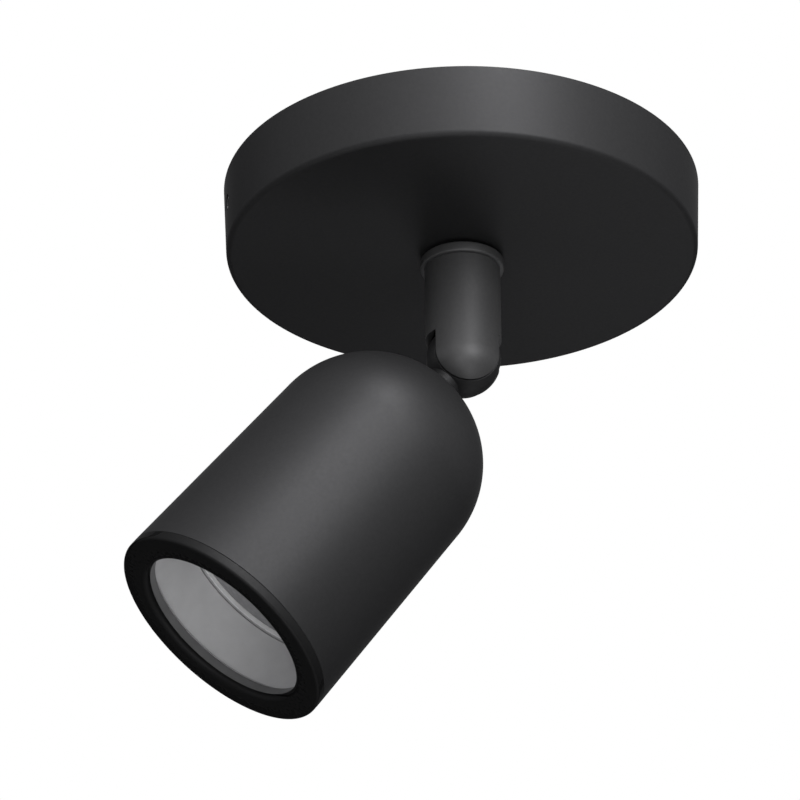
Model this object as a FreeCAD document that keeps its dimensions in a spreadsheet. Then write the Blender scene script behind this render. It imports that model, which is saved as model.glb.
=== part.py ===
import FreeCAD, Part
import math
import os
import re

import Sketcher

# Surface mounted ceiling spotlight: a round canopy, a swivelling forked stem and a
# bullet head on a knuckle. Millimetres, +Z up, origin at the centre of the canopy's
# ceiling face, so everything hangs below Z = 0. The head tilts in the XZ plane.
# Pieces of the head are drawn hanging straight down from the knuckle's pivot, then
# their placement drops them to the pivot and tilts them towards -X.

SIZES = {
    # canopy and what it hides
    "canopy_radius": 60.0,
    "canopy_height": 19.0,
    "canopy_wall": 1.2,
    "canopy_draft": 0.8,
    "canopy_round": 1.5,
    "strap_thickness": 1.5,
    "strap_width": 20.0,
    "strap_entry_radius": 8.0,
    "strap_end_gap": 0.3,
    "strap_bend": 1.5,
    "strap_lug_drop": 12.5,
    "ceiling_slot_spacing": 70.0,
    "ceiling_slot_length": 12.0,
    "ceiling_slot_radius": 2.5,
    "side_screw_drop": 8.5,
    "side_screw_radius": 2.0,
    "side_screw_length": 6.0,
    "side_screw_sink": 0.25,
    "side_screw_edge": 0.3,
    "side_screw_key_across": 2.0,
    "side_screw_key_depth": 2.2,
    "block_place": 20.0,
    "block_length": 26.0,
    "block_width": 10.5,
    "block_height": 10.0,
    "block_pole_pitch": 8.0,
    "block_wire_radius": 1.6,
    "block_screw_radius": 1.4,
    "block_bore_share": 0.55,
    "block_notch_height": 1.5,
    "block_notch_width": 1.2,
    "clamp_screw_radius": 1.5,
    "clamp_screw_stand": 0.8,
    "fixing_head_radius": 2.4,
    "fixing_head_thickness": 1.2,
    "earth_place": 20.0,
    "earth_screw_radius": 2.0,
    "earth_screw_sink": 0.2,
    "earth_head_radius": 3.6,
    "earth_head_thickness": 2.4,
    "driver_slot_width": 1.0,
    "driver_slot_depth": 1.2,
    "earth_washer_radius": 4.6,
    "earth_washer_thickness": 1.0,
    # shared by many pieces: a close fit's play and how far a cut runs past its face
    "fit_play": 0.05,
    "cut_spare": 2.0,
    # swivel at the top of the stem
    "nipple_radius": 5.0,
    "nipple_bore": 3.4,
    "nipple_edge": 0.5,
    "nipple_depth": 9.0,
    "nipple_end_room": 0.5,
    "nipple_tail": 1.8,
    "swivel_play": 0.08,
    "swivel_washer_radius": 8.0,
    "swivel_washer_thickness": 1.2,
    "stop_washer_radius": 9.0,
    "stop_washer_thickness": 1.0,
    "stop_tab_reach": 12.6,
    "stop_tab_width": 4.0,
    "stop_stud_radius": 1.2,
    "stop_stud_place": 11.2,
    "stop_stud_height": 2.6,
    "swivel_nut_across": 17.0,
    "swivel_nut_thickness": 3.4,
    "nut_bevel_angle": 25.0,
    # stem and fork
    "collar_radius": 10.5,
    "collar_thickness": 2.7,
    "collar_edge": 0.3,
    "stem_radius": 9.5,
    "pivot_drop": 48.5,
    "slot_width": 10.3,
    "slot_edge": 0.2,
    "roof_play": 0.35,
    "neck_room": 1.0,
    "pivot_radius": 2.5,
    "pivot_play": 0.05,
    "pivot_blind": 2.7,
    "pivot_end_room": 0.2,
    "pivot_head_radius": 4.0,
    "pivot_head_thickness": 1.5,
    "pivot_head_place": 7.0,
    "pivot_head_play": 0.2,
    "pivot_key_across": 3.0,
    "pivot_key_depth": 1.1,
    "friction_washer_radius": 7.2,
    "friction_washer_thickness": 0.6,
    # knuckle
    "tongue_radius": 9.3,
    "neck_radius": 4.4,
    "shank_radius": 4.0,
    "shank_bore": 2.5,
    "shank_tail": 0.8,
    "lead_groove_width": 4.6,
    "lead_groove_radius": 6.4,
    "lead_groove_half_angle": 72.0,
    # head
    "rest_tilt": 37.5,
    "neck_stand": 11.3,
    "head_room": 1.1,
    "head_wall": 1.6,
    "head_flare": 1.8,
    "neck_seat_radius": 5.3,
    "boss_radius": 10.8,
    "boss_thickness": 3.8,
    "shank_play": 0.2,
    "knuckle_washer_radius": 6.8,
    "knuckle_washer_thickness": 0.8,
    "knuckle_nut_across": 12.0,
    "knuckle_nut_thickness": 3.0,
    # front ring and glare sleeve
    "ring_thickness": 2.6,
    "ring_edge": 0.5,
    "seam_edge": 0.18,
    "lip_thickness": 1.75,
    "lip_round": 1.4,
    "opening_step": 2.7,
    "spigot_step": 0.5,
    "spigot_length": 6.0,
    "spigot_end_room": 0.6,
    "ledge_step": 0.2,
    "thread_play": 0.3,
    "sleeve_step": 0.6,
    "sleeve_wall": 0.8,
    "sleeve_play": 0.3,
    "sleeve_collar_step": 2.4,
    "sleeve_collar_length": 2.3,
    "sleeve_bevel": 0.8,
    "sleeve_end_gap": 0.5,
    # lamp and lampholder
    "lamp_recess": 18.0,
    "lamp_radius": 25.0,
    "lamp_length": 46.5,
    "bezel_width": 2.4,
    "bezel_depth": 5.0,
    "bezel_lip": 1.0,
    "bezel_edge": 0.6,
    "lens_thickness": 1.6,
    "lens_crown": 0.5,
    "lens_band": 3.0,
    "lamp_shell_wall": 1.0,
    "lamp_waist_radius": 15.0,
    "lamp_waist_length": 17.0,
    "lamp_foot_radius": 8.8,
    "lamp_foot_length": 8.5,
    "lamp_flange": 1.0,
    "lamp_foot_edge": 0.8,
    "pin_pitch_radius": 5.0,
    "pin_radius": 1.5,
    "pin_shank_length": 4.0,
    "pin_head_radius": 2.5,
    "pin_head_length": 3.4,
    "keyhole_play": 0.3,
    "keyhole_turn": 40.0,
    "holder_radius": 12.4,
    "holder_height": 9.8,
    "holder_ear_reach": 17.4,
    "holder_ear_width": 10.0,
    "holder_ear_thickness": 3.6,
    "holder_plate_thickness": 1.4,
    "holder_plate_gap": 0.3,
    "chamber_radius": 9.2,
    "chamber_depth": 7.0,
    "contact_thickness": 0.9,
    "contact_width": 5.0,
    "contact_length": 3.8,
    "holder_room": 1.7,
    "cradle_thickness": 1.2,
    "cradle_bend": 0.6,
    "cradle_width": 11.0,
    "cradle_base_half": 8.4,
    "cradle_foot_start": 12.4,
    "holder_screw_place": 15.2,
    "holder_screw_radius": 1.5,
    "holder_screw_head_radius": 2.7,
    "holder_screw_head_thickness": 1.6,
    "holder_screw_tail": 0.8,
}

PARTS_FOLDER = "parts"
HALF = "half"            # marks an arc that is a half circle
TOUCHING = 1e-4          # millimetres within which an edge lies on a face
SEEN_AT = 0.01           # millimetres within which two heights are one

doc = FreeCAD.newDocument("CeilingSpotlight")
sheet = doc.addObject("Spreadsheet::Sheet", "Sizes")
for row, (alias, value) in enumerate(SIZES.items(), start=1):
    sheet.set("A%d" % row, str(value))
    sheet.setAlias("A%d" % row, alias)
doc.recompute()

ALIAS = re.compile(r"\b(%s)\b" % "|".join(sorted(SIZES, key=len, reverse=True)))


def bound(expression):
    """The expression with each size name pointing at the sheet."""
    return ALIAS.sub(r"Sizes.\1", "(%s)" % expression)


def value(expression):
    """The number that an expression of sizes gives now."""
    return float(sheet.evalExpression("(%s)" % expression))


# Places along the stem, as heights in the part's frame.
CANOPY_FACE = "-canopy_height"
CANOPY_FLOOR = "(canopy_wall - canopy_height)"
COLLAR_TOP = "(-canopy_height - swivel_washer_thickness)"
STEM_TOP = "(-canopy_height - swivel_washer_thickness - collar_thickness)"
PIVOT = "(-pivot_drop)"
STOP_TOP = "(canopy_wall - canopy_height + stop_washer_thickness)"
NUT_TOP = "(canopy_wall - canopy_height + stop_washer_thickness + swivel_nut_thickness)"
SIDE_SCREW_END = ("(canopy_radius - canopy_draft * side_screw_drop / canopy_height"
                  " - side_screw_sink)")
CUP_INSIDE = ("(canopy_radius - canopy_draft * strap_lug_drop / canopy_height"
              " - canopy_wall)")
LUG_OUTSIDE = "(sqrt(%s^2 - strap_width^2 / 4) - strap_end_gap)" % CUP_INSIDE

# Places along the head, as heights in the head's own frame, whose origin is the pivot.
# The lamp sets the head's bore and mouth, and with its holder and the knuckle's nut, which
# stand in one stack, also the length.
HEAD_INSIDE = "(lamp_radius + head_room)"
HEAD_BACK = "(lamp_radius + head_room + head_wall)"
SPIGOT = "(%s - spigot_step)" % HEAD_BACK
SLEEVE = "(lamp_radius - sleeve_step)"
SLEEVE_COLLAR = "(lamp_radius - sleeve_collar_step)"
OPENING = "(lamp_radius - opening_step)"
STACK = ("(lamp_recess + lamp_length + holder_plate_gap + holder_plate_thickness"
         " + holder_height + holder_room + shank_tail + knuckle_nut_thickness"
         " + knuckle_washer_thickness + cradle_thickness + boss_thickness)")
SEAT_RISE = "sqrt(%s^2 - neck_seat_radius^2)" % HEAD_BACK
HEAD_STRAIGHT = "(%s - %s)" % (STACK, SEAT_RISE)
HEAD_REACH = "(%s + %s + neck_stand)" % (HEAD_STRAIGHT, HEAD_BACK)
FRONT = "(-%s)" % HEAD_REACH
SEAM = "(ring_thickness - %s)" % HEAD_REACH
DOME_START = "(-%s - neck_stand)" % HEAD_BACK
DOME_SEAT = "(%s - %s - neck_stand)" % (SEAT_RISE, HEAD_BACK)
BOSS_FACE = DOME_SEAT[:-1] + " - boss_thickness)"
CRADLE_FACE = BOSS_FACE[:-1] + " - cradle_thickness)"
KNUCKLE_WASHER_FACE = CRADLE_FACE[:-1] + " - knuckle_washer_thickness)"
KNUCKLE_NUT_FACE = KNUCKLE_WASHER_FACE[:-1] + " - knuckle_nut_thickness)"
SHANK_END = KNUCKLE_NUT_FACE[:-1] + " - shank_tail)"
LAMP_FACE = "(lamp_recess - %s)" % HEAD_REACH
LAMP_FOOT = "(lamp_recess + lamp_length - %s)" % HEAD_REACH
PLATE_FACE = "(lamp_recess + lamp_length + holder_plate_gap - %s)" % HEAD_REACH
HOLDER_FACE = PLATE_FACE[:-1] + " + holder_plate_thickness)"
HOLDER_BACK = HOLDER_FACE[:-1] + " + holder_height)"
CHAMBER_BACK = HOLDER_FACE[:-1] + " + chamber_depth)"

made = []


def new_body(name, in_head=False):
    """A body named after its node; one of the head's gets the pivot's placement."""
    body = doc.addObject("PartDesign::Body", name)
    body.Label = name
    body.AllowCompound = True
    if in_head:
        tilt = FreeCAD.Rotation(FreeCAD.Vector(0, 1, 0), value("rest_tilt"))
        body.Placement = FreeCAD.Placement(FreeCAD.Vector(0, 0, value(PIVOT)), tilt)
        body.setExpression("Placement.Base.z", bound(PIVOT))
        body.setExpression("Placement.Rotation.Angle", bound("rest_tilt"))
    made.append(body)
    return body


def origin_plane(body, role):
    """The body's own origin feature with this role."""
    return next(item for item in body.Origin.OriginFeatures if item.Role == role)


def new_sketch(body, role, offset=None):
    """A sketch on one of the body's origin planes, moved along its normal by an expression."""
    sketch = body.newObject("Sketcher::SketchObject", body.Label + "_sketch")
    sketch.AttachmentSupport = [(origin_plane(body, role), "")]
    sketch.MapMode = "FlatFace"
    if offset is not None:
        sketch.AttachmentOffset = FreeCAD.Placement(
            FreeCAD.Vector(0, 0, value(offset)), FreeCAD.Rotation())
        sketch.setExpression("AttachmentOffset.Base.z", bound(offset))
    return sketch


def pin_point(sketch, geometry, end, across, up):
    """Fix one end of a sketch line or arc at coordinates given as expressions."""
    for kind, expression in (("DistanceX", across), ("DistanceY", up)):
        at_value = value(expression)
        index = sketch.addConstraint(
            Sketcher.Constraint(kind, -1, 1, geometry, end, at_value))
        sketch.setExpression("Constraints[%d]" % index, bound(expression))


def angle_about(centre, point):
    """The direction of a point seen from a centre, in radians."""
    return math.atan2(point.y - centre.y, point.x - centre.x)


def draw_arc(sketch, start, end, corner):
    """An arc between two points by its radius, or a half circle; returns its number.

    A sketch keeps its arcs anticlockwise, so one that bulges to the left of the way from
    start to end is drawn from end to start.
    """
    chord = end - start
    half = chord.Length / 2
    half_circle = corner[2] == HALF
    radius = half if half_circle else value(corner[2])
    normal = FreeCAD.Vector(-chord.y, chord.x, 0).normalize()
    side = 1 if corner[3] == "left" else -1
    centre = start + chord * 0.5 - normal * side * math.sqrt(max(radius ** 2 - half ** 2, 0.0))
    first, last = (end, start) if corner[3] == "left" else (start, end)
    circle = Part.Circle(centre, FreeCAD.Vector(0, 0, 1), radius)
    index = sketch.addGeometry(Part.ArcOfCircle(
        circle, angle_about(centre, first), angle_about(centre, last)))
    if not half_circle:
        bow = sketch.addConstraint(Sketcher.Constraint("Radius", index, radius))
        sketch.setExpression("Constraints[%d]" % bow, bound(corner[2]))
    return index


def centre_half_circle(sketch, index, corner, following):
    """Keep a half circle's centre between its two ends, along X or Y."""
    axis = 0 if abs(value(corner[1]) - value(following[1])) > abs(
        value(corner[0]) - value(following[0])) else 1
    middle = "((%s) + (%s)) / 2" % (corner[axis], following[axis])
    kind = ("DistanceX", "DistanceY")[axis]
    mark = sketch.addConstraint(Sketcher.Constraint(kind, -1, 1, index, 3, value(middle)))
    sketch.setExpression("Constraints[%d]" % mark, bound(middle))


def outline(sketch, corners):
    """A closed outline through corners (across, up), each an expression.

    A corner may carry two more values for an arc that runs from it to the next corner:
    its radius, or HALF for a half circle, and the side of the way it bulges to.
    """
    points = [FreeCAD.Vector(value(c[0]), value(c[1]), 0) for c in corners]
    ends = []
    for number, corner in enumerate(corners):
        start, end = points[number], points[(number + 1) % len(points)]
        if len(corner) == 2:
            index = sketch.addGeometry(Part.LineSegment(start, end))
            ends.append((index, 1, 2))
            continue
        index = draw_arc(sketch, start, end, corner)
        ends.append((index, 2, 1) if corner[3] == "left" else (index, 1, 2))
    for number, (index, first, last) in enumerate(ends):
        before, _, before_last = ends[number - 1]
        sketch.addConstraint(
            Sketcher.Constraint("Coincident", before, before_last, index, first))
        pin_point(sketch, index, first, corners[number][0], corners[number][1])
    for number, corner in enumerate(corners):
        if len(corner) > 2 and corner[2] == HALF:
            centre_half_circle(sketch, ends[number][0], corner,
                               corners[(number + 1) % len(corners)])


def ring_at(sketch, radius, across="0", up="0"):
    """A circle with its radius and centre given as expressions."""
    centre = FreeCAD.Vector(value(across), value(up), 0)
    index = sketch.addGeometry(
        Part.Circle(centre, FreeCAD.Vector(0, 0, 1), value(radius)))
    bow = sketch.addConstraint(Sketcher.Constraint("Radius", index, value(radius)))
    sketch.setExpression("Constraints[%d]" % bow, bound(radius))
    pin_point(sketch, index, 3, across, up)


def box_at(sketch, half_across, half_up, across="0", up="0"):
    """A rectangle about a centre, all as expressions."""
    left, right = "%s - (%s)" % (across, half_across), "%s + (%s)" % (across, half_across)
    low, high = "%s - (%s)" % (up, half_up), "%s + (%s)" % (up, half_up)
    outline(sketch, [(left, low), (right, low), (right, high), (left, high)])


def hexagon_at(sketch, across_flats, up="0"):
    """A hexagon with two flats across the sketch's X axis, at a height."""
    half = "((%s) / 2)" % across_flats
    corner = "((%s) / sqrt(3))" % across_flats
    low, high = "%s - %s / 2" % (up, corner), "%s + %s / 2" % (up, corner)
    outline(sketch, [
        (half, low), (half, high), ("0", "%s + %s" % (up, corner)),
        ("-" + half, high), ("-" + half, low), ("0", "%s - %s" % (up, corner)),
    ])


def feature(body, kind, sketch, **settings):
    """A PartDesign feature on a sketch; settings that are text are expressions."""
    item = body.newObject("PartDesign::" + kind, body.Label + "_" + kind.lower())
    item.Profile = sketch
    sketch.Visibility = False
    for name, setting in settings.items():
        if name in ("Length", "Angle") and isinstance(setting, str):
            setattr(item, name, value(setting))
            item.setExpression(name, bound(setting))
        else:
            setattr(item, name, setting)
    body.Tip = item
    doc.recompute()
    return item


def turned(body, corners, kind="Revolution"):
    """An outline in the XZ plane turned about the Z axis, to add or to cut."""
    sketch = new_sketch(body, "XZ_Plane")
    outline(sketch, corners)
    before = volume(body)
    feature(body, kind, sketch, ReferenceAxis=(sketch, ["V_Axis"]), Angle=360.0)
    check_change(body, before, kind == "Revolution")


def volume(body):
    """The body's volume so far."""
    return body.Shape.Volume if body.Tip is not None and not body.Shape.isNull() else 0.0


def check_change(body, before, added):
    """Stop if a feature changed the volume the wrong way or not at all."""
    after = body.Shape.Volume
    if (after - before if added else before - after) <= 1e-6:
        raise RuntimeError("%s: a feature changed nothing" % body.Label)


def extruded(body, role, draw, length, kind="Pad", offset=None, symmetric=False, flip=False):
    """What draw(sketch) draws, padded or pocketed by a length."""
    sketch = new_sketch(body, role, offset)
    draw(sketch)
    before = volume(body)
    item = feature(body, kind, sketch, Length=length, Reversed=flip,
                   SideType="Symmetric" if symmetric else "One side")
    check_change(body, before, kind == "Pad")
    return item


def drilled(body, radius, top, depth, across="0", up="0"):
    """A round hole from a height downwards."""
    return extruded(body, "XY_Plane", lambda s: ring_at(s, radius, across, up), depth,
                    kind="Pocket", offset=top)


def pair_of(body, originals):
    """A second copy of features on the other side of the body's Z axis."""
    item = body.newObject("PartDesign::PolarPattern", body.Label + "_pair")
    item.Originals = originals
    item.Axis = (origin_plane(body, "Z_Axis"), [""])
    item.Angle = 360.0
    item.Occurrences = 2
    body.Tip = item
    doc.recompute()


def row_of(body, original, occurrences, pitch):
    """Copies of a feature stepped along the body's Y axis."""
    item = body.newObject("PartDesign::LinearPattern", body.Label + "_row")
    item.Originals = [original]
    item.Direction = (origin_plane(body, "Y_Axis"), [""])
    item.Occurrences = occurrences
    item.Length = value("(%s) * %d" % (pitch, occurrences - 1))
    item.setExpression("Length", bound("(%s) * %d" % (pitch, occurrences - 1)))
    body.Tip = item
    doc.recompute()


def chamfered(body, size, wanted):
    """A chamfer on the edges for which wanted(edge) holds."""
    base = body.Tip
    names = ["Edge%d" % n for n, edge in enumerate(base.Shape.Edges, start=1) if wanted(edge)]
    item = body.newObject("PartDesign::Chamfer", body.Label + "_edges")
    item.Base = (base, names)
    item.Size = value(size)
    item.setExpression("Size", bound(size))
    body.Tip = item
    doc.recompute()


# ---------------------------------------------------------------- canopy and bracket

def make_canopy_cover():
    """Spun cup, open to the ceiling, with a rounded lower edge."""
    body = new_body("canopy_cover")
    foot = "(canopy_radius - canopy_draft)"
    inner_round = "(canopy_round - canopy_wall)"
    turned(body, [
        ("0", CANOPY_FACE),
        (foot + " - canopy_round", CANOPY_FACE, "canopy_round", "right"),
        (foot, "canopy_round - canopy_height"),
        ("canopy_radius", "0"),
        ("canopy_radius - canopy_wall", "0"),
        (foot + " - canopy_wall", "canopy_round - canopy_height", inner_round, "left"),
        (foot + " - canopy_round", CANOPY_FLOOR),
        ("0", CANOPY_FLOOR),
    ])
    drilled(body, "nipple_radius + swivel_play", CANOPY_FLOOR, "canopy_wall + cut_spare")
    extruded(body, "YZ_Plane",
             lambda s: ring_at(s, "side_screw_radius + fit_play", up="-side_screw_drop"),
             "(canopy_radius + cut_spare) * 2", kind="Pocket", symmetric=True)


def make_mounting_bracket():
    """Steel strap against the ceiling whose bent ends take the side screws."""
    body = new_body("mounting_bracket")
    lug_inside = "(%s - strap_thickness)" % LUG_OUTSIDE
    bend_start = "(%s - strap_bend)" % lug_inside
    bend_end = "-strap_thickness - strap_bend"
    outer_bend = "strap_bend + strap_thickness"
    extruded(body, "XZ_Plane", lambda s: outline(s, [
        ("-" + bend_start, "0", outer_bend, "right"), ("-" + LUG_OUTSIDE, bend_end),
        ("-" + LUG_OUTSIDE, "-strap_lug_drop"), ("-" + lug_inside, "-strap_lug_drop"),
        ("-" + lug_inside, bend_end, "strap_bend", "left"),
        ("-" + bend_start, "-strap_thickness"),
        (bend_start, "-strap_thickness", "strap_bend", "left"), (lug_inside, bend_end),
        (lug_inside, "-strap_lug_drop"), (LUG_OUTSIDE, "-strap_lug_drop"),
        (LUG_OUTSIDE, bend_end, outer_bend, "right"), (bend_start, "0"),
    ]), "strap_width", symmetric=True)
    drilled(body, "strap_entry_radius", "0", "strap_thickness + cut_spare")
    half = "(ceiling_slot_length / 2 - ceiling_slot_radius)"

    def slot(sketch):
        place, round_ = "(ceiling_slot_spacing / 2)", "ceiling_slot_radius"
        outline(sketch, [
            (place + " - " + half, "-" + round_),
            (place + " + " + half, "-" + round_, HALF, "right"),
            (place + " + " + half, round_),
            (place + " - " + half, round_, HALF, "right"),
        ])

    slots = extruded(body, "XY_Plane", slot, "strap_thickness + cut_spare", kind="Pocket")
    pair_of(body, [slots])
    extruded(body, "YZ_Plane", lambda s: ring_at(s, "side_screw_radius + fit_play",
                                                 up="-side_screw_drop"),
             "canopy_radius * 2", kind="Pocket", symmetric=True)
    drilled(body, "earth_screw_radius + fit_play", "0", "strap_thickness + cut_spare",
            across="-earth_place")
    drilled(body, "block_screw_radius + fit_play", "0", "strap_thickness + cut_spare",
            across="block_place", up="block_pole_pitch / 2")


def make_canopy_side_screws():
    """Two headless socket screws in the strap's ends that pin the canopy, flush with it."""
    body = new_body("canopy_side_screws")
    tip = "(%s - side_screw_length)" % SIDE_SCREW_END
    axis = "-side_screw_drop"
    edge = axis + " + side_screw_radius - side_screw_edge"
    side = axis + " + side_screw_radius"
    sketch = new_sketch(body, "XZ_Plane")
    outline(sketch, [
        (tip, axis), (tip, edge), (tip + " + side_screw_edge", side),
        (SIDE_SCREW_END + " - side_screw_edge", side), (SIDE_SCREW_END, edge),
        (SIDE_SCREW_END, axis),
    ])
    screw = feature(body, "Revolution", sketch, ReferenceAxis=(sketch, ["Edge6"]), Angle=360.0)
    socket = extruded(body, "YZ_Plane",
                      lambda s: hexagon_at(s, "side_screw_key_across", up=axis),
                      "side_screw_key_depth", kind="Pocket", offset=SIDE_SCREW_END)
    pair_of(body, [screw, socket])


def make_terminal_block():
    """Three pole connector block that hangs from the strap."""
    body = new_body("terminal_block")
    top = "-strap_thickness"
    extruded(body, "XY_Plane", lambda s: box_at(s, "block_width / 2", "block_length / 2",
                                                across="block_place"),
             "block_height", offset=top, flip=True)
    notch = extruded(body, "XZ_Plane", lambda s: box_at(
        s, "block_width / 2 + cut_spare", "block_notch_height", across="block_place",
        up="-strap_thickness - block_height"), "block_notch_width", kind="Pocket",
        offset="(block_pole_pitch + block_notch_width) / 2")
    row_of(body, notch, 2, "block_pole_pitch")
    bore = extruded(body, "YZ_Plane", lambda s: ring_at(
        s, "block_wire_radius", across="-block_pole_pitch",
        up="-strap_thickness - block_height * block_bore_share"),
        "block_width + cut_spare * 2", kind="Pocket",
        offset="block_place + block_width / 2 + cut_spare")
    row_of(body, bore, 3, "block_pole_pitch")
    drilled(body, "block_screw_radius + fit_play", top, "block_height + cut_spare",
            across="block_place", up="block_pole_pitch / 2")


def make_terminal_screws():
    """Two clamping screws for each pole, heads down."""
    body = new_body("terminal_screws")
    for side in ("-", "+"):
        screw = extruded(body, "XY_Plane", lambda s: ring_at(
            s, "clamp_screw_radius", across="block_place %s block_width / 4" % side,
            up="-block_pole_pitch"), "clamp_screw_stand",
            offset="-strap_thickness - block_height", flip=True)
        row_of(body, screw, 3, "block_pole_pitch")


def make_terminal_fixing_screw():
    """Screw that holds the connector block up against the strap."""
    body = new_body("terminal_fixing_screw")
    seat = "(-strap_thickness - block_height)"
    centre = dict(across="block_place", up="block_pole_pitch / 2")
    extruded(body, "XY_Plane", lambda s: ring_at(s, "block_screw_radius", **centre),
             "block_height + strap_thickness", offset=seat)
    extruded(body, "XY_Plane", lambda s: ring_at(s, "fixing_head_radius", **centre),
             "fixing_head_thickness", offset=seat, flip=True)


def make_earth_fixings():
    """Earth screw and its washer under the strap."""
    washer = new_body("earth_washer")
    centre = dict(across="-earth_place")
    extruded(washer, "XY_Plane", lambda s: ring_at(s, "earth_washer_radius", **centre),
             "earth_washer_thickness", offset="-strap_thickness", flip=True)
    drilled(washer, "earth_screw_radius + fit_play", "cut_spare - strap_thickness",
            "earth_washer_thickness + cut_spare * 2", **centre)
    screw = new_body("earth_screw")
    seat = "(-strap_thickness - earth_washer_thickness)"
    head = "(%s - earth_head_thickness)" % seat
    extruded(screw, "XY_Plane", lambda s: ring_at(s, "earth_screw_radius", **centre),
             "-%s - earth_screw_sink" % seat, offset=seat)
    extruded(screw, "XY_Plane", lambda s: ring_at(s, "earth_head_radius", **centre),
             "earth_head_thickness", offset=seat, flip=True)
    extruded(screw, "XY_Plane", lambda s: box_at(
        s, "earth_head_radius + cut_spare", "driver_slot_width / 2", **centre),
        "driver_slot_depth", kind="Pocket", offset=head, flip=True)


def make_stop_stud():
    """Stud on the canopy's floor that the stop washer's tab runs against."""
    body = new_body("stop_stud")
    extruded(body, "XY_Plane", lambda s: ring_at(s, "stop_stud_radius", up="stop_stud_place"),
             "stop_stud_height", offset=CANOPY_FLOOR)


# ---------------------------------------------------------------- swivel and fork

def flat_washer(name, low, outer, inner, thickness, in_head=False):
    """A plain washer about the Z axis, standing on a height."""
    body = new_body(name, in_head)

    def draw(sketch):
        ring_at(sketch, outer)
        ring_at(sketch, inner)

    extruded(body, "XY_Plane", draw, thickness, offset=low)
    return body


def hex_nut(name, low, across_flats, inner, thickness, in_head=False):
    """A hexagon nut about the Z axis with its corners turned off."""
    body = new_body(name, in_head)

    def draw(sketch):
        hexagon_at(sketch, across_flats)
        ring_at(sketch, inner)

    extruded(body, "XY_Plane", draw, thickness, offset=low)
    start = "((%s) / 2)" % across_flats
    reach = "((%s) / sqrt(3) + cut_spare)" % across_flats
    rise = "(%s - %s) * tan(nut_bevel_angle)" % (reach, start)
    for base, sign in ((low, "+"), ("(%s + %s)" % (low, thickness), "-")):
        turned(body, [
            (start, base), (reach, base), (reach, "%s %s %s" % (base, sign, rise)),
        ], kind="Groove")


def make_stop_washer():
    """Washer keyed to the nipple, with the tab that limits the swivel."""
    body = flat_washer("stop_washer", CANOPY_FLOOR, "stop_washer_radius",
                       "nipple_radius + fit_play", "stop_washer_thickness")
    start = "(stop_washer_radius - cut_spare)"
    extruded(body, "XY_Plane", lambda s: box_at(
        s, "stop_tab_width / 2", "(stop_tab_reach - %s) / 2" % start,
        up="-(stop_tab_reach + %s) / 2" % start), "stop_washer_thickness",
        offset=CANOPY_FLOOR)


def make_stem_nipple():
    """Hollow threaded tube that joins the stem to the canopy and carries the leads."""
    body = new_body("stem_nipple")
    low = STEM_TOP + " - nipple_depth"
    high = NUT_TOP + " + nipple_tail"
    edge = "nipple_radius - nipple_edge"
    turned(body, [
        ("nipple_bore", low), (edge, low), ("nipple_radius", low + " + nipple_edge"),
        ("nipple_radius", high + " - nipple_edge"), (edge, high), ("nipple_bore", high),
    ])


def make_stem_collar():
    """Turned ring between the canopy and the stem."""
    body = new_body("stem_collar")
    edge = "collar_radius - collar_edge"
    turned(body, [
        ("nipple_radius + fit_play", STEM_TOP), (edge, STEM_TOP),
        ("collar_radius", STEM_TOP + " + collar_edge"),
        ("collar_radius", COLLAR_TOP + " - collar_edge"),
        (edge, COLLAR_TOP), ("nipple_radius + fit_play", COLLAR_TOP),
    ])


def make_fork_stem():
    """Round stem with a ball end, slotted for the knuckle's tongue.

    The slot's roof is an arch about the pivot, which clears the ball shaped tongue, and
    its sides open high enough for the neck to swing level either way.
    """
    body = new_body("fork_stem")
    turned(body, [
        ("0", PIVOT + " - stem_radius", "stem_radius", "right"),
        ("stem_radius", PIVOT), ("stem_radius", STEM_TOP), ("0", STEM_TOP),
    ])
    drilled(body, "nipple_radius + fit_play", STEM_TOP, "nipple_depth + nipple_end_room")
    roof = "(tongue_radius + roof_play)"
    drilled(body, "nipple_bore", STEM_TOP, "pivot_drop + " + STEM_TOP)
    shoulder = "(neck_radius + neck_room)"
    spring = "sqrt(%s^2 - %s^2)" % (roof, shoulder)
    beyond = "(stem_radius + cut_spare)"
    extruded(body, "XZ_Plane", lambda s: outline(s, [
        ("-" + beyond, PIVOT + " - " + beyond), (beyond, PIVOT + " - " + beyond),
        (beyond, PIVOT + " + " + shoulder),
        (spring, PIVOT + " + " + shoulder, roof, "right"),
        ("-(%s)" % spring, PIVOT + " + " + shoulder),
        ("-" + beyond, PIVOT + " + " + shoulder),
    ]), "slot_width", kind="Pocket", symmetric=True)
    inside = value("slot_width / 2")
    slot_top = value(PIVOT + " + " + shoulder)

    def around_slot(edge):
        """True for the long edges where the slot opens below its shoulders."""
        on_face = abs(abs(edge.CenterOfMass.y) - inside) < TOUCHING
        ends_on_face = all(abs(abs(v.Point.y) - inside) < TOUCHING for v in edge.Vertexes)
        below = edge.BoundBox.ZMax < slot_top + SEEN_AT
        return on_face and ends_on_face and below and edge.Length > inside

    chamfered(body, "slot_edge", around_slot)
    beside = "(stem_radius + cut_spare)"
    extruded(body, "XZ_Plane", lambda s: ring_at(s, "pivot_radius + fit_play", up=PIVOT),
             "slot_width / 2 + pivot_blind + %s" % beside, kind="Pocket",
             offset="-" + beside, flip=True)
    extruded(body, "XZ_Plane", lambda s: ring_at(
        s, "pivot_head_radius + pivot_head_play", up=PIVOT), "stem_radius",
        kind="Pocket", offset="-pivot_head_place - stem_radius", flip=True)


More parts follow.
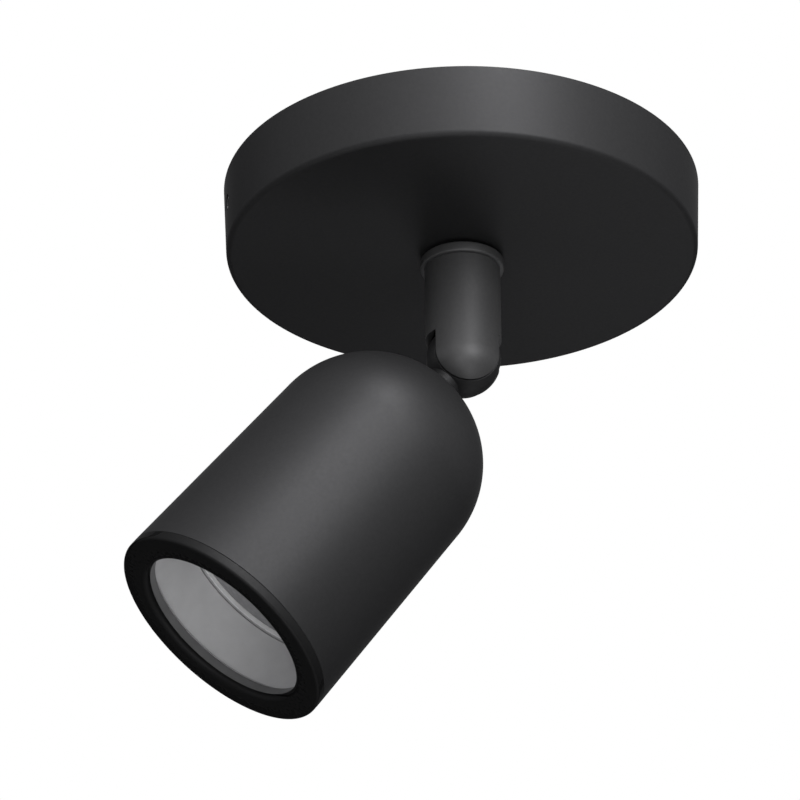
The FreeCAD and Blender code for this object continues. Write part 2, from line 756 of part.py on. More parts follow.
def make_pivot_screw():
    """Shoulder screw through the far cheek and the tongue into the near cheek."""
    body = new_body("pivot_screw")
    near = "slot_width / 2 + pivot_blind - pivot_end_room"
    extruded(body, "XZ_Plane", lambda s: ring_at(s, "pivot_radius", up=PIVOT),
             "pivot_head_place + " + near, offset="-pivot_head_place")
    extruded(body, "XZ_Plane", lambda s: ring_at(s, "pivot_head_radius", up=PIVOT),
             "pivot_head_thickness", offset="-pivot_head_place", flip=True)
    extruded(body, "XZ_Plane", lambda s: hexagon_at(s, "pivot_key_across", up=PIVOT),
             "pivot_key_depth", kind="Pocket", flip=True,
             offset="-pivot_head_place - pivot_head_thickness")


def make_friction_washers():
    """Two washers between the cheeks and the tongue."""
    body = new_body("friction_washers")
    inside = "slot_width / 2 - fit_play"

    def draw(sketch):
        ring_at(sketch, "friction_washer_radius", up=PIVOT)
        ring_at(sketch, "pivot_radius + fit_play", up=PIVOT)

    extruded(body, "XZ_Plane", draw, "friction_washer_thickness", offset=inside, flip=True)
    extruded(body, "XZ_Plane", draw, "friction_washer_thickness", offset="-(%s)" % inside)


# ---------------------------------------------------------------- knuckle and head

TONGUE_THICKNESS = "(slot_width - 2 * friction_washer_thickness - 4 * fit_play)"


def make_knuckle():
    """Ball shaped tongue, neck and hollow threaded shank in one turned and milled piece."""
    body = new_body("knuckle", in_head=True)
    turned(body, [
        ("0", "tongue_radius", "tongue_radius", "left"),
        ("neck_radius", "-sqrt(tongue_radius^2 - neck_radius^2)"),
        ("neck_radius", DOME_SEAT), ("shank_radius", DOME_SEAT),
        ("shank_radius", SHANK_END), ("0", SHANK_END),
    ])
    reach = "(tongue_radius + cut_spare)"
    for side, flip in (("(%s) / 2" % TONGUE_THICKNESS, True),
                       ("-(%s) / 2" % TONGUE_THICKNESS, False)):
        extruded(body, "XZ_Plane", lambda s: box_at(s, reach, reach), "tongue_radius",
                 kind="Pocket", offset=side, flip=flip)
    extruded(body, "XZ_Plane", lambda s: ring_at(s, "pivot_radius + pivot_play"),
             "slot_width", kind="Pocket", symmetric=True)
    across = "sin(lead_groove_half_angle)"
    up = "cos(lead_groove_half_angle)"
    inner = "lead_groove_radius"
    extruded(body, "XZ_Plane", lambda s: outline(s, [
        ("%s * %s" % (inner, across), "%s * %s" % (inner, up)),
        ("%s * %s" % (reach, across), "%s * %s" % (reach, up)),
        ("%s * %s" % (reach, across), reach),
        ("-%s * %s" % (reach, across), reach),
        ("-%s * %s" % (reach, across), "%s * %s" % (reach, up)),
        ("-%s * %s" % (inner, across), "%s * %s" % (inner, up), inner, "right"),
        ("0", "-" + inner, inner, "right"),
    ]), "lead_groove_width", kind="Pocket", symmetric=True)
    drilled(body, "shank_bore", "0", "cut_spare - %s" % SHANK_END)


def shell_radius(height):
    """Expression of the head's outer radius at a height of its straight part."""
    return "(%s + head_flare * (%s - (%s)) / %s)" % (
        HEAD_BACK, DOME_START, height, HEAD_STRAIGHT)


def make_head_shell():
    """Bullet shaped shell: slightly flared barrel, round back and a boss for the neck."""
    body = new_body("head_shell", in_head=True)
    mouth = "(%s + thread_play)" % SPIGOT
    ledge = SEAM + " + spigot_length + spigot_end_room"
    boss_height = "(%s + sqrt(%s^2 - boss_radius^2))" % (DOME_START, HEAD_INSIDE)
    turned(body, [
        ("shank_radius + shank_play", DOME_SEAT),
        ("neck_seat_radius", DOME_SEAT, HEAD_BACK, "left"),
        (HEAD_BACK, DOME_START),
        (shell_radius(SEAM), SEAM + " + seam_edge"),
        (shell_radius(SEAM) + " - seam_edge", SEAM),
        (mouth, SEAM), (mouth, ledge),
        (mouth + " - ledge_step", ledge),
        (HEAD_INSIDE, DOME_START, HEAD_INSIDE, "right"),
        ("boss_radius", boss_height), ("boss_radius", BOSS_FACE),
        ("shank_radius + shank_play", BOSS_FACE),
    ])


def make_cradle():
    """Bent steel strip that carries the lampholder from the knuckle's nut."""
    body = new_body("lampholder_cradle", in_head=True)
    foot_top = HOLDER_BACK + " + cradle_thickness"
    inner_base = "(cradle_base_half - cradle_bend)"
    inner_foot = "(cradle_foot_start - cradle_bend)"
    extruded(body, "XZ_Plane", lambda s: outline(s, [
        ("-holder_ear_reach", HOLDER_BACK), ("-" + inner_foot, HOLDER_BACK),
        ("-" + inner_base, CRADLE_FACE), (inner_base, CRADLE_FACE),
        (inner_foot, HOLDER_BACK), ("holder_ear_reach", HOLDER_BACK),
        ("holder_ear_reach", foot_top), ("cradle_foot_start + cradle_bend / 2", foot_top),
        ("cradle_base_half", BOSS_FACE), ("-cradle_base_half", BOSS_FACE),
        ("-cradle_foot_start - cradle_bend / 2", foot_top), ("-holder_ear_reach", foot_top),
    ]), "cradle_width", symmetric=True)
    drilled(body, "shank_radius + fit_play", BOSS_FACE, "cradle_thickness + cut_spare")
    hole = drilled(body, "holder_screw_radius + fit_play", foot_top,
                   "cradle_thickness + cut_spare", across="holder_screw_place")
    pair_of(body, [hole])


def make_lampholder_body():
    """Ceramic cup with two ears; its chamber takes the heads of the lamp's pins."""
    body = new_body("lampholder_body", in_head=True)
    extruded(body, "XY_Plane", lambda s: ring_at(s, "holder_radius"), "holder_height",
             offset=HOLDER_FACE)
    extruded(body, "XY_Plane", lambda s: box_at(s, "holder_ear_reach", "holder_ear_width / 2"),
             "holder_ear_thickness", offset=HOLDER_BACK, flip=True)
    drilled(body, "chamber_radius", CHAMBER_BACK, "chamber_depth + cut_spare")
    hole = drilled(body, "holder_screw_radius + fit_play", HOLDER_BACK,
                   "holder_ear_thickness + cut_spare", across="holder_screw_place")
    pair_of(body, [hole])


def keyhole(sketch):
    """One keyhole: an arc slot for the pin's neck that ends in a hole for its head.

    The locked lamp's pin stands on +X. It is freed by turning the lamp anticlockwise, seen
    from the mouth, which is towards -Y here.
    """
    neck = "(pin_radius + keyhole_play)"
    outer = "(pin_pitch_radius + %s)" % neck
    inner = "(pin_pitch_radius - %s)" % neck
    across, up = "cos(keyhole_turn)", "-sin(keyhole_turn)"
    outline(sketch, [
        ("%s * %s" % (inner, across), "%s * %s" % (up, inner), HALF, "right"),
        ("%s * %s" % (outer, across), "%s * %s" % (up, outer), outer, "right"),
        (outer, "0", HALF, "right"),
        (inner, "0", inner, "left"),
    ])


def make_lampholder_plate():
    """Ceramic front plate of the lampholder with its two keyholes."""
    body = new_body("lampholder_plate", in_head=True)
    extruded(body, "XY_Plane", lambda s: ring_at(s, "holder_radius"),
             "holder_plate_thickness", offset=PLATE_FACE)
    above = HOLDER_FACE + " + cut_spare"
    through = "holder_plate_thickness + cut_spare * 2"
    slot = extruded(body, "XY_Plane", keyhole, through, kind="Pocket", offset=above)
    entry = drilled(body, "pin_head_radius + keyhole_play", above, through,
                    across="pin_pitch_radius * cos(keyhole_turn)",
                    up="-sin(keyhole_turn) * pin_pitch_radius")
    pair_of(body, [slot, entry])


def make_lampholder_contacts():
    """Two contact strips on the chamber's floor, under the pins."""
    body = new_body("lampholder_contacts", in_head=True)
    strip = extruded(body, "XY_Plane", lambda s: box_at(
        s, "contact_length / 2", "contact_width / 2", across="pin_pitch_radius"),
        "contact_thickness", offset=CHAMBER_BACK, flip=True)
    pair_of(body, [strip])


def make_lampholder_screws():
    """Two screws through the lampholder's ears into the cradle's feet."""
    body = new_body("lampholder_screws", in_head=True)
    seat = HOLDER_BACK + " - holder_ear_thickness"
    shank = extruded(body, "XY_Plane", lambda s: ring_at(
        s, "holder_screw_radius", across="holder_screw_place"),
        "holder_ear_thickness + cradle_thickness + holder_screw_tail", offset=seat)
    head = extruded(body, "XY_Plane", lambda s: ring_at(
        s, "holder_screw_head_radius", across="holder_screw_place"),
        "holder_screw_head_thickness", offset=seat, flip=True)
    pair_of(body, [shank, head])


# ---------------------------------------------------------------- lamp

def make_lamp_front():
    """Front of the twist lock reflector lamp: a crowned lens and the bezel round it."""
    rim = "(lamp_radius - bezel_width)"
    bezel_back = LAMP_FACE + " + bezel_depth"
    lens_front = LAMP_FACE + " + bezel_lip"
    lens_back = "(%s + bezel_lip + lens_thickness)" % LAMP_FACE
    lens = new_body("lamp_lens", in_head=True)
    turned(lens, [
        ("0", lens_front + " - lens_crown"), (rim + " - lens_band", lens_front),
        (rim + " - fit_play", lens_front), (rim + " - fit_play", lens_back), ("0", lens_back),
    ])
    bezel = new_body("lamp_bezel", in_head=True)
    inside = "lamp_radius - lamp_shell_wall"
    turned(bezel, [
        (rim + " + bezel_edge / 2", LAMP_FACE), ("lamp_radius - bezel_edge", LAMP_FACE),
        ("lamp_radius", LAMP_FACE + " + bezel_edge"), ("lamp_radius", bezel_back),
        (inside, bezel_back), (inside, lens_back), (rim, lens_back), (rim, lens_front),
    ])


def make_lamp_back():
    """Back of the lamp: tapered housing, foot and two headed contact pins."""
    bezel_back = LAMP_FACE + " + bezel_depth"
    waist = LAMP_FOOT + " - lamp_waist_length"
    foot = LAMP_FOOT + " - lamp_foot_length"
    flange = foot + " + lamp_flange"
    housing = new_body("lamp_housing", in_head=True)
    turned(housing, [
        ("lamp_radius - lamp_shell_wall", bezel_back), ("lamp_radius", bezel_back),
        ("lamp_waist_radius", waist), ("lamp_foot_radius + lamp_flange * 2", flange),
        ("lamp_foot_radius - lamp_shell_wall", flange),
        ("lamp_foot_radius - lamp_shell_wall", foot),
        ("lamp_waist_radius - lamp_shell_wall", waist + " - lamp_shell_wall"),
    ])
    base = new_body("lamp_base", in_head=True)
    turned(base, [
        ("0", flange), ("lamp_foot_radius + lamp_flange", flange),
        ("lamp_foot_radius", flange + " + lamp_flange * 2"),
        ("lamp_foot_radius", LAMP_FOOT + " - lamp_foot_edge"),
        ("lamp_foot_radius - lamp_foot_edge", LAMP_FOOT), ("0", LAMP_FOOT),
    ])
    pins = new_body("lamp_pins", in_head=True)
    shank = extruded(pins, "XY_Plane", lambda s: ring_at(
        s, "pin_radius", across="pin_pitch_radius"), "pin_shank_length", offset=LAMP_FOOT)
    head = extruded(pins, "XY_Plane", lambda s: ring_at(
        s, "pin_head_radius", across="pin_pitch_radius"), "pin_head_length",
        offset=LAMP_FOOT + " + pin_shank_length")
    pair_of(pins, [shank, head])


# ---------------------------------------------------------------- front ring and sleeve

def make_front_ring():
    """Screwed ring that closes the head's mouth, with a rounded inner lip."""
    body = new_body("front_ring", in_head=True)
    lip_back = FRONT + " + lip_thickness"
    rebate = "(%s + sleeve_play)" % SLEEVE
    outside = shell_radius(SEAM)
    turned(body, [
        (OPENING + " + lip_round", FRONT),
        (outside + " - ring_edge", FRONT), (outside, FRONT + " + ring_edge"),
        (outside, SEAM + " - seam_edge"), (outside + " - seam_edge", SEAM),
        (SPIGOT, SEAM), (SPIGOT, SEAM + " + spigot_length"),
        (rebate, SEAM + " + spigot_length"), (rebate, lip_back),
        (OPENING, lip_back), (OPENING, FRONT + " + lip_round", "lip_round", "right"),
    ])


def make_glare_sleeve():
    """Satin tube behind the front ring that hides the lamp's side."""
    body = new_body("glare_sleeve", in_head=True)
    front = "(%s + lip_thickness)" % FRONT
    back = LAMP_FACE + " - sleeve_end_gap"
    wall = "(%s - sleeve_wall)" % SLEEVE
    step = front + " + sleeve_collar_length"
    turned(body, [
        (SLEEVE_COLLAR, front), (SLEEVE, front), (SLEEVE, back), (wall, back),
        (wall, step + " + sleeve_bevel"), (SLEEVE_COLLAR, step),
    ])


def check_and_write():
    """Recompute, refuse anything broken, and write one STEP file for each sub-part."""
    doc.recompute()
    for item in doc.Objects:
        if {"Invalid", "Error"} & set(item.State):
            raise RuntimeError("%s is %s" % (item.Label, item.State))
    os.makedirs(PARTS_FOLDER, exist_ok=True)
    for body in made:
        shape = body.Shape
        if shape.isNull() or not shape.isValid() or not shape.Solids:
            raise RuntimeError("%s has no valid shape" % body.Label)
        shape.exportStep(os.path.join(PARTS_FOLDER, body.Label + ".step"))
        print("%-24s %d solids %10.1f mm3" % (body.Label, len(shape.Solids), shape.Volume))


def main():
    """Make every sub-part, from the ceiling down."""
    make_canopy_cover()
    make_mounting_bracket()
    make_canopy_side_screws()
    make_terminal_block()
    make_terminal_screws()
    make_terminal_fixing_screw()
    make_earth_fixings()
    make_stop_stud()
    flat_washer("swivel_washer", COLLAR_TOP, "swivel_washer_radius",
                "nipple_radius + fit_play", "swivel_washer_thickness")
    make_stem_collar()
    make_stop_washer()
    hex_nut("stem_nut", STOP_TOP, "swivel_nut_across", "nipple_radius + fit_play",
            "swivel_nut_thickness")
    make_stem_nipple()
    make_fork_stem()
    make_pivot_screw()
    make_friction_washers()
    make_knuckle()
    make_head_shell()
    make_cradle()
    flat_washer("knuckle_washer", KNUCKLE_WASHER_FACE, "knuckle_washer_radius",
                "shank_radius + fit_play", "knuckle_washer_thickness", in_head=True)
    hex_nut("knuckle_nut", KNUCKLE_NUT_FACE, "knuckle_nut_across", "shank_radius + fit_play",
            "knuckle_nut_thickness", in_head=True)
    make_lampholder_body()
    make_lampholder_plate()
    make_lampholder_contacts()
    make_lampholder_screws()
    make_lamp_front()
    make_lamp_back()
    make_glare_sleeve()
    make_front_ring()
    check_and_write()


main()
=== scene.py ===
"""Looks of a ceiling spotlight: round canopy, forked stem and a bullet head on a knuckle.

Sizes of pieces are in millimetres and become metres in the meshes; the studio's are in
metres. Pieces of the head are drawn hanging straight down from the knuckle's pivot, with
the pivot as their origin, and are then tilted into place. Cutting tools reach BEYOND the
piece they cut. FINE, COARSE and SMALL are steps round the axis.
"""

import logging
import math
from dataclasses import dataclass, field, replace
from enum import Enum
from typing import Callable, Sequence

import bmesh
import bpy
from mathutils import Matrix, Vector


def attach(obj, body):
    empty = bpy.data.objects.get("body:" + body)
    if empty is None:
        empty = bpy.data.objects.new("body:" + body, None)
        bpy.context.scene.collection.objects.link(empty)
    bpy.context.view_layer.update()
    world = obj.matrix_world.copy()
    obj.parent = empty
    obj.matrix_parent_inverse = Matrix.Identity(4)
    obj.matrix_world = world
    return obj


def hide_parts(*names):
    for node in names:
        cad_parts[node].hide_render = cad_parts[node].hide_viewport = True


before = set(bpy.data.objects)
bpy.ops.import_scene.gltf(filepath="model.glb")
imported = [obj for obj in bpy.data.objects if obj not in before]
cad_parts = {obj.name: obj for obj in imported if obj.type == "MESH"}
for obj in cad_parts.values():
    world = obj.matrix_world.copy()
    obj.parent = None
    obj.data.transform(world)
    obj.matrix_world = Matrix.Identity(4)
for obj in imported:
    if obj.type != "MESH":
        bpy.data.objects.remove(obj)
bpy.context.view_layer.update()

LOG = logging.getLogger("spotlight")
MM = 0.001
PIVOT_DROP = 48.5
PIVOT = Vector((0.0, 0.0, -PIVOT_DROP * MM))
REST_TILT = math.radians(37.5)
HEAD_FRONT = -99.112
RING_THICKNESS = 2.6
RING_LIP = 1.75
SEAM_ROUND = 0.18
LAMP_FACE = HEAD_FRONT + 18.0
CREASE = math.radians(35.0)
ROUND_STEPS = 6
FINE = 192
COARSE = 96
SMALL = 32
BEYOND = 2.0
ON_AXIS = 1e-6

Corner = tuple[float, float, float]
Point = tuple[float, float]
Colour = tuple[float, float, float]


class Home(Enum):
    """Where a piece's own origin is: the part's, or the head's pivot at rest."""

    PART = "part"
    HEAD = "head"

    def matrix(self) -> Matrix:
        """Transform from the piece's own millimetres to the part's metres."""
        scale = Matrix.Scale(MM, 4)
        if self is Home.PART:
            return scale
        return Matrix.Translation(PIVOT) @ Matrix.Rotation(REST_TILT, 4, "Y") @ scale


# ------------------------------------------------------------------ outlines and meshes

def rounded(corners: Sequence[Corner], steps: int = ROUND_STEPS) -> list[Point]:
    """Round the corners of a closed outline.

    Args:
        corners: across, up and the radius of each corner, or 0 to leave it sharp.
        steps: segments in each rounded corner.

    Returns:
        The points of the rounded outline, in the same order.
    """
    points: list[Point] = []
    for number, (across, up, radius) in enumerate(corners):
        here = Vector((across, up))
        before = Vector(corners[number - 1][:2])
        after = Vector(corners[(number + 1) % len(corners)][:2])
        if radius <= 0:
            points.append((here.x, here.y))
            continue
        back, ahead = (before - here).normalized(), (after - here).normalized()
        half = back.angle(ahead) / 2
        setback = radius / math.tan(half)
        start, end = here + back * setback, here + ahead * setback
        centre = here + (back + ahead).normalized() * radius / math.sin(half)
        first, last = start - centre, end - centre
        turn = first.angle_signed(last)
        for step in range(steps + 1):
            angle = -turn * step / steps
            spoke = Matrix.Rotation(angle, 2) @ first
            points.append((centre.x + spoke.x, centre.y + spoke.y))
    return points


def arc(radius: float, centre_up: float, start: float, end: float, steps: int) -> list[Corner]:
    """Corners along an arc centred on the axis.

    Args:
        radius: radius of the arc.
        centre_up: height of its centre.
        start: first angle above the level, in degrees.
        end: last angle above the level, in degrees.
        steps: segments in the arc.

    Returns:
        Sharp corners from start to end.
    """
    spots = [math.radians(start + (end - start) * n / steps) for n in range(steps + 1)]
    return [(radius * math.cos(a), centre_up + radius * math.sin(a), 0.0) for a in spots]


def shade(mesh: bpy.types.Mesh) -> None:
    """Shade a mesh smooth and keep its creases sharp."""
    for face in mesh.polygons:
        face.use_smooth = True
    mesh.set_sharp_from_angle(angle=CREASE)


def new_piece(name: str, build: bmesh.types.BMesh, home: Home) -> bpy.types.Object:
    """Make an object from a finished mesh and put it in the part's frame.

    Args:
        name: the piece's name.
        build: its mesh in millimetres; it is freed.
        home: where its own origin is.

    Returns:
        The new object, linked to the scene.
    """
    bmesh.ops.recalc_face_normals(build, faces=build.faces)
    mesh = bpy.data.meshes.new(name)
    build.to_mesh(mesh)
    build.free()
    mesh.transform(home.matrix())
    shade(mesh)
    piece = bpy.data.objects.new(name, mesh)
    bpy.context.scene.collection.objects.link(piece)
    return piece


def spun(outline: Sequence[Point], segments: int) -> bmesh.types.BMesh:
    """Turn a closed outline about the Z axis.

    Args:
        outline: radius and height of each point.
        segments: steps round the axis.

    Returns:
        The turned mesh, in millimetres.
    """
    build = bmesh.new()
    rings: list[list[bmesh.types.BMVert]] = []
    for radius, height in outline:
        if radius < ON_AXIS:
            rings.append([build.verts.new((0.0, 0.0, height))])
            continue
        spots = [2 * math.pi * n / segments for n in range(segments)]
        rings.append([build.verts.new((radius * math.cos(a), radius * math.sin(a), height))
                      for a in spots])
    for number, ring in enumerate(rings):
        other = rings[(number + 1) % len(rings)]
        if len(ring) == 1 and len(other) == 1:
            continue
        for n in range(segments):
            m = (n + 1) % segments
            if len(ring) == 1:
                build.faces.new((ring[0], other[m], other[n]))
            elif len(other) == 1:
                build.faces.new((ring[n], ring[m], other[0]))
            else:
                build.faces.new((ring[n], ring[m], other[m], other[n]))
    return build


def drawn_through(outline: Sequence[Point], low: float, high: float, along: str = "Z"
                  ) -> bmesh.types.BMesh:
    """Push a closed outline along an axis.

    Args:
        outline: the points across the axis; (X, Y) for Z, (X, Z) for Y, (Y, Z) for X.
        low: where the solid starts along the axis.
        high: where it ends.
        along: X, Y or Z.

    Returns:
        The solid's mesh, in millimetres.
    """
    place: dict[str, Callable[[float, float, float], tuple[float, float, float]]] = {
        "Z": lambda u, v, w: (u, v, w),
        "Y": lambda u, v, w: (u, w, v),
        "X": lambda u, v, w: (w, u, v),
    }
    build = bmesh.new()
    ends = [[build.verts.new(place[along](u, v, w)) for u, v in outline] for w in (low, high)]
    build.faces.new(ends[0])
    build.faces.new(list(reversed(ends[1])))
    for n in range(len(outline)):
        m = (n + 1) % len(outline)
        build.faces.new((ends[0][n], ends[0][m], ends[1][m], ends[1][n]))
    return build


def disc(radius: float, across: float = 0.0, up: float = 0.0, sides: int = 48,
         start: float = 0.0) -> list[Point]:
    """Points of a circle, the first at the start angle in radians."""
    spots = [start + 2 * math.pi * n / sides for n in range(sides)]
    return [(across + radius * math.cos(a), up + radius * math.sin(a)) for a in spots]


def oblong(middle: float, half: float, radius: float, sides: int = 24) -> list[Point]:
    """Points of a slot with round ends along X.

    Args:
        middle: where its middle is.
        half: distance from the middle to the centre of each end.
        radius: radius of its ends.
        sides: sides of the whole circle that the two ends make.

    Returns:
        The points of both ends.
    """
    count = sides // 2 + 1
    right = disc(radius, middle + half, sides=sides, start=-math.pi / 2)[:count]
    left = disc(radius, middle - half, sides=sides, start=math.pi / 2)[:count]
    return right + left


def cut(piece: bpy.types.Object, tools: Sequence[bpy.types.Object]) -> None:
    """Take the tools' solids out of a piece and remove the tools.

    Args:
        piece: the object that is cut.
        tools: closed solids in the same place.
    """
    for tool in tools:
        step = piece.modifiers.new("cut", "BOOLEAN")
        step.operation = "DIFFERENCE"
        step.solver = "EXACT"
        step.object = tool
    bpy.context.view_layer.update()
    mesh = bpy.data.meshes.new_from_object(piece.evaluated_get(
        bpy.context.evaluated_depsgraph_get()))
    piece.modifiers.clear()
    piece.data = mesh
    shade(mesh)
    for tool in tools:
        bpy.data.objects.remove(tool)


# ------------------------------------------------------------------ finishes

class Weave:
    """A material's nodes under construction, in the piece's own coordinates."""

    def __init__(self, name: str) -> None:
        """Start a material with one shader."""
        self.material = bpy.data.materials.new(name)
        self.material.use_nodes = True
        self.tree = self.material.node_tree
        self.tree.nodes.clear()
        output = self.tree.nodes.new("ShaderNodeOutputMaterial")
        self.shader = self.tree.nodes.new("ShaderNodeBsdfPrincipled")
        self.place = self.tree.nodes.new("ShaderNodeTexCoord").outputs["Object"]
        self.join(self.shader.outputs[0], output.inputs["Surface"])

    def join(self, source: bpy.types.NodeSocket, target: bpy.types.NodeSocket) -> None:
        """Link two sockets."""
        self.tree.links.new(source, target)

    def set(self, **sockets: object) -> None:
        """Set the shader's own sockets; underscores stand for spaces."""
        for name, setting in sockets.items():
            self.shader.inputs[name.replace("_", " ")].default_value = setting

    def stretched(self, stretch: tuple[float, float, float],
                  turn: tuple[float, float, float] = (0.0, 0.0, 0.0)) -> bpy.types.NodeSocket:
        """The piece's coordinates, turned and stretched."""
        mapping = self.tree.nodes.new("ShaderNodeMapping")
        mapping.inputs["Scale"].default_value = stretch
        mapping.inputs["Rotation"].default_value = turn
        self.join(self.place, mapping.inputs["Vector"])
        return mapping.outputs[0]

    def noise(self, size: float, detail: float = 2.0,
              place: bpy.types.NodeSocket | None = None) -> bpy.types.NodeSocket:
        """Noise whose marks are about size millimetres across."""
        node = self.tree.nodes.new("ShaderNodeTexNoise")
        node.inputs["Scale"].default_value = 1.0 / (size * MM)
        node.inputs["Detail"].default_value = detail
        self.join(place or self.place, node.inputs["Vector"])
        return node.outputs["Fac"]

    def cells(self, size: float) -> bpy.types.NodeSocket:
        """Distance to the middle of cells about size millimetres across."""
        node = self.tree.nodes.new("ShaderNodeTexVoronoi")
        node.inputs["Scale"].default_value = 1.0 / (size * MM)
        self.join(self.place, node.inputs["Vector"])
        return node.outputs["Distance"]

    def spread(self, source: bpy.types.NodeSocket, low: float, high: float,
               start: float = 0.3, end: float = 0.7) -> bpy.types.NodeSocket:
        """A pattern's middle range spread between two values."""
        node = self.tree.nodes.new("ShaderNodeMapRange")
        node.inputs["From Min"].default_value = start
        node.inputs["From Max"].default_value = end
        node.inputs["To Min"].default_value = low
        node.inputs["To Max"].default_value = high
        self.join(source, node.inputs["Value"])
        return node.outputs[0]

    def tint(self, source: bpy.types.NodeSocket, dark: Colour, light: Colour) -> None:
        """Colour the shader between two colours by a pattern from 0 to 1."""
        node = self.tree.nodes.new("ShaderNodeMix")
        node.data_type = "RGBA"
        node.inputs[6].default_value = (*dark, 1.0)
        node.inputs[7].default_value = (*light, 1.0)
        self.join(source, node.inputs[0])
        self.join(node.outputs[2], self.shader.inputs["Base Color"])

    def relief(self, *layers: tuple[bpy.types.NodeSocket, float]) -> None:
        """Bump the surface by patterns, each with its height in millimetres."""
        last = None
        for source, height in layers:
            node = self.tree.nodes.new("ShaderNodeBump")
            node.inputs["Distance"].default_value = height * MM
            self.join(source, node.inputs["Height"])
            if last is not None:
                self.join(last, node.inputs["Normal"])
            last = node.outputs[0]
        self.join(last, self.shader.inputs["Normal"])


@dataclass(frozen=True)
class PowderCoat:
    """Fine powder coat with a faint orange peel."""

    name: str
    dark: Colour = (0.0270, 0.0270, 0.0280)
    light: Colour = (0.0295, 0.0295, 0.0305)
    smooth: float = 0.49
    rough: float = 0.53
    metal: float = 0.6
    edge: float = 0.4
    gloss: float = 0.0
    tone_size: float = 0.9
    sheen_size: float = 0.7
    peel_size: float = 1.3
    peel: float = 0.005
    grain_size: float = 0.28
    grain: float = 0.003

    def build(self) -> bpy.types.Material:
        """Make the material."""
        weave = Weave(self.name)
        weave.tint(weave.spread(weave.noise(self.tone_size), 0.0, 1.0), self.dark, self.light)
        weave.join(weave.spread(weave.noise(self.sheen_size), self.smooth, self.rough),
                   weave.shader.inputs["Roughness"])
        weave.set(Metallic=self.metal, Specular_Tint=(self.edge,) * 3 + (1.0,),
                  Specular_IOR_Level=self.gloss)
        weave.relief((weave.noise(self.peel_size, detail=1.0), self.peel),
                     (weave.noise(self.grain_size, detail=1.0), self.grain))
        return weave.material


@dataclass(frozen=True)
class PlatedMetal:
    """Plated or turned metal with faint marks of the tool that run one way."""

    name: str
    dark: Colour
    light: Colour
    smooth: float = 0.28
    rough: float = 0.42
    marks: tuple[float, float, float] = (1.0, 1.0, 1.0)
    turn: tuple[float, float, float] = (0.0, 0.0, 0.0)
    mark_size: float = 1.2
    mark_height: float = 0.004
    tone_size: float = 4.0
    metal: float = 1.0

    def build(self) -> bpy.types.Material:
        """Make the material."""
        weave = Weave(self.name)
        weave.tint(weave.spread(weave.noise(self.tone_size, detail=4.0), 0.0, 1.0),
                   self.dark, self.light)
        lay = weave.noise(self.mark_size, detail=3.0,
                          place=weave.stretched(self.marks, self.turn))
        weave.join(weave.spread(lay, self.smooth, self.rough), weave.shader.inputs["Roughness"])
        weave.set(Metallic=self.metal)
        weave.relief((lay, self.mark_height))
        return weave.material


@dataclass(frozen=True)
class Moulded:
    """Moulded plastic, fibre or glazed ceramic."""

    name: str
    dark: Colour
    light: Colour
    smooth: float = 0.35
    rough: float = 0.5
    grain_size: float = 0.5
    grain: float = 0.004
    tone_size: float = 6.0
    sheen_size: float = 2.0
    glaze: float = 0.0
    glaze_rough: float = 0.08

    def build(self) -> bpy.types.Material:
        """Make the material."""
        weave = Weave(self.name)
        weave.tint(weave.spread(weave.noise(self.tone_size, detail=3.0), 0.0, 1.0),
                   self.dark, self.light)
        weave.join(weave.spread(weave.noise(self.sheen_size), self.smooth, self.rough),
                   weave.shader.inputs["Roughness"])
        weave.set(Coat_Weight=self.glaze, Coat_Roughness=self.glaze_rough)
        weave.relief((weave.noise(self.grain_size), self.grain))
        return weave.material


@dataclass(frozen=True)
class FrostedLens:
    """Unlit lens: a grey face of fine pebbled cells, lighter in the middle of each."""

    name: str
    border: Colour = (0.19, 0.19, 0.197)
    middle: Colour = (0.24, 0.24, 0.247)
    pebble: float = 1.3
    pebble_reach: float = 0.6
    height: float = 0.04
    smooth: float = 0.40
    rough: float = 0.50
    sheen_size: float = 3.0
    gloss: float = 0.3
    grain_size: float = 0.4
    grain: float = 0.004

    def build(self) -> bpy.types.Material:
        """Make the material."""
        weave = Weave(self.name)
        cells = weave.cells(self.pebble)
        weave.tint(weave.spread(cells, 0.0, 1.0, start=0.0, end=self.pebble_reach),
                   self.middle, self.border)
        weave.join(weave.spread(weave.noise(self.sheen_size), self.smooth, self.rough),
                   weave.shader.inputs["Roughness"])
        weave.set(Specular_IOR_Level=self.gloss)
        weave.relief((cells, self.height), (weave.noise(self.grain_size), self.grain))
        return weave.material


Finish = PowderCoat | PlatedMetal | Moulded | FrostedLens

BLACK_COAT = PowderCoat("black_powder_coat")
# The front ring wears the same black powder coat as the head, painted darker here as painted
# shade on its face.
RING_COAT_PAINTED_SHADE = PowderCoat("ring_coat_painted_shade", dark=(0.0150, 0.0150, 0.0154),
                       light=(0.0165, 0.0165, 0.0169), metal=0.75)
# The stem and its collar wear the same black powder coat as the rest, painted lighter here as
# painted light on the stem and its ball end.
STEM_COAT_PAINTED_LIGHT = PowderCoat("stem_coat_painted_light", dark=(0.0640, 0.0640, 0.0655),
                       light=(0.0690, 0.0690, 0.0705))
BLACKENED = PlatedMetal("blackened_steel", (0.02, 0.02, 0.021), (0.035, 0.034, 0.034),
                        smooth=0.3, rough=0.45, marks=(1.0, 1.0, 6.0), metal=0.6)
ZINC = PlatedMetal("zinc_plate", (0.50, 0.50, 0.49), (0.66, 0.66, 0.63),
                   marks=(1.0, 8.0, 1.0), mark_size=2.4, mark_height=0.006)
SCREW_STEEL = PlatedMetal("screw_steel", (0.52, 0.51, 0.49), (0.70, 0.69, 0.66),
                          smooth=0.22, rough=0.36, marks=(1.0, 1.0, 7.0))
TURNED_BRASS = PlatedMetal("turned_brass", (0.60, 0.43, 0.17), (0.74, 0.56, 0.26),
                           smooth=0.2, rough=0.34, marks=(0.6, 0.6, 9.0))
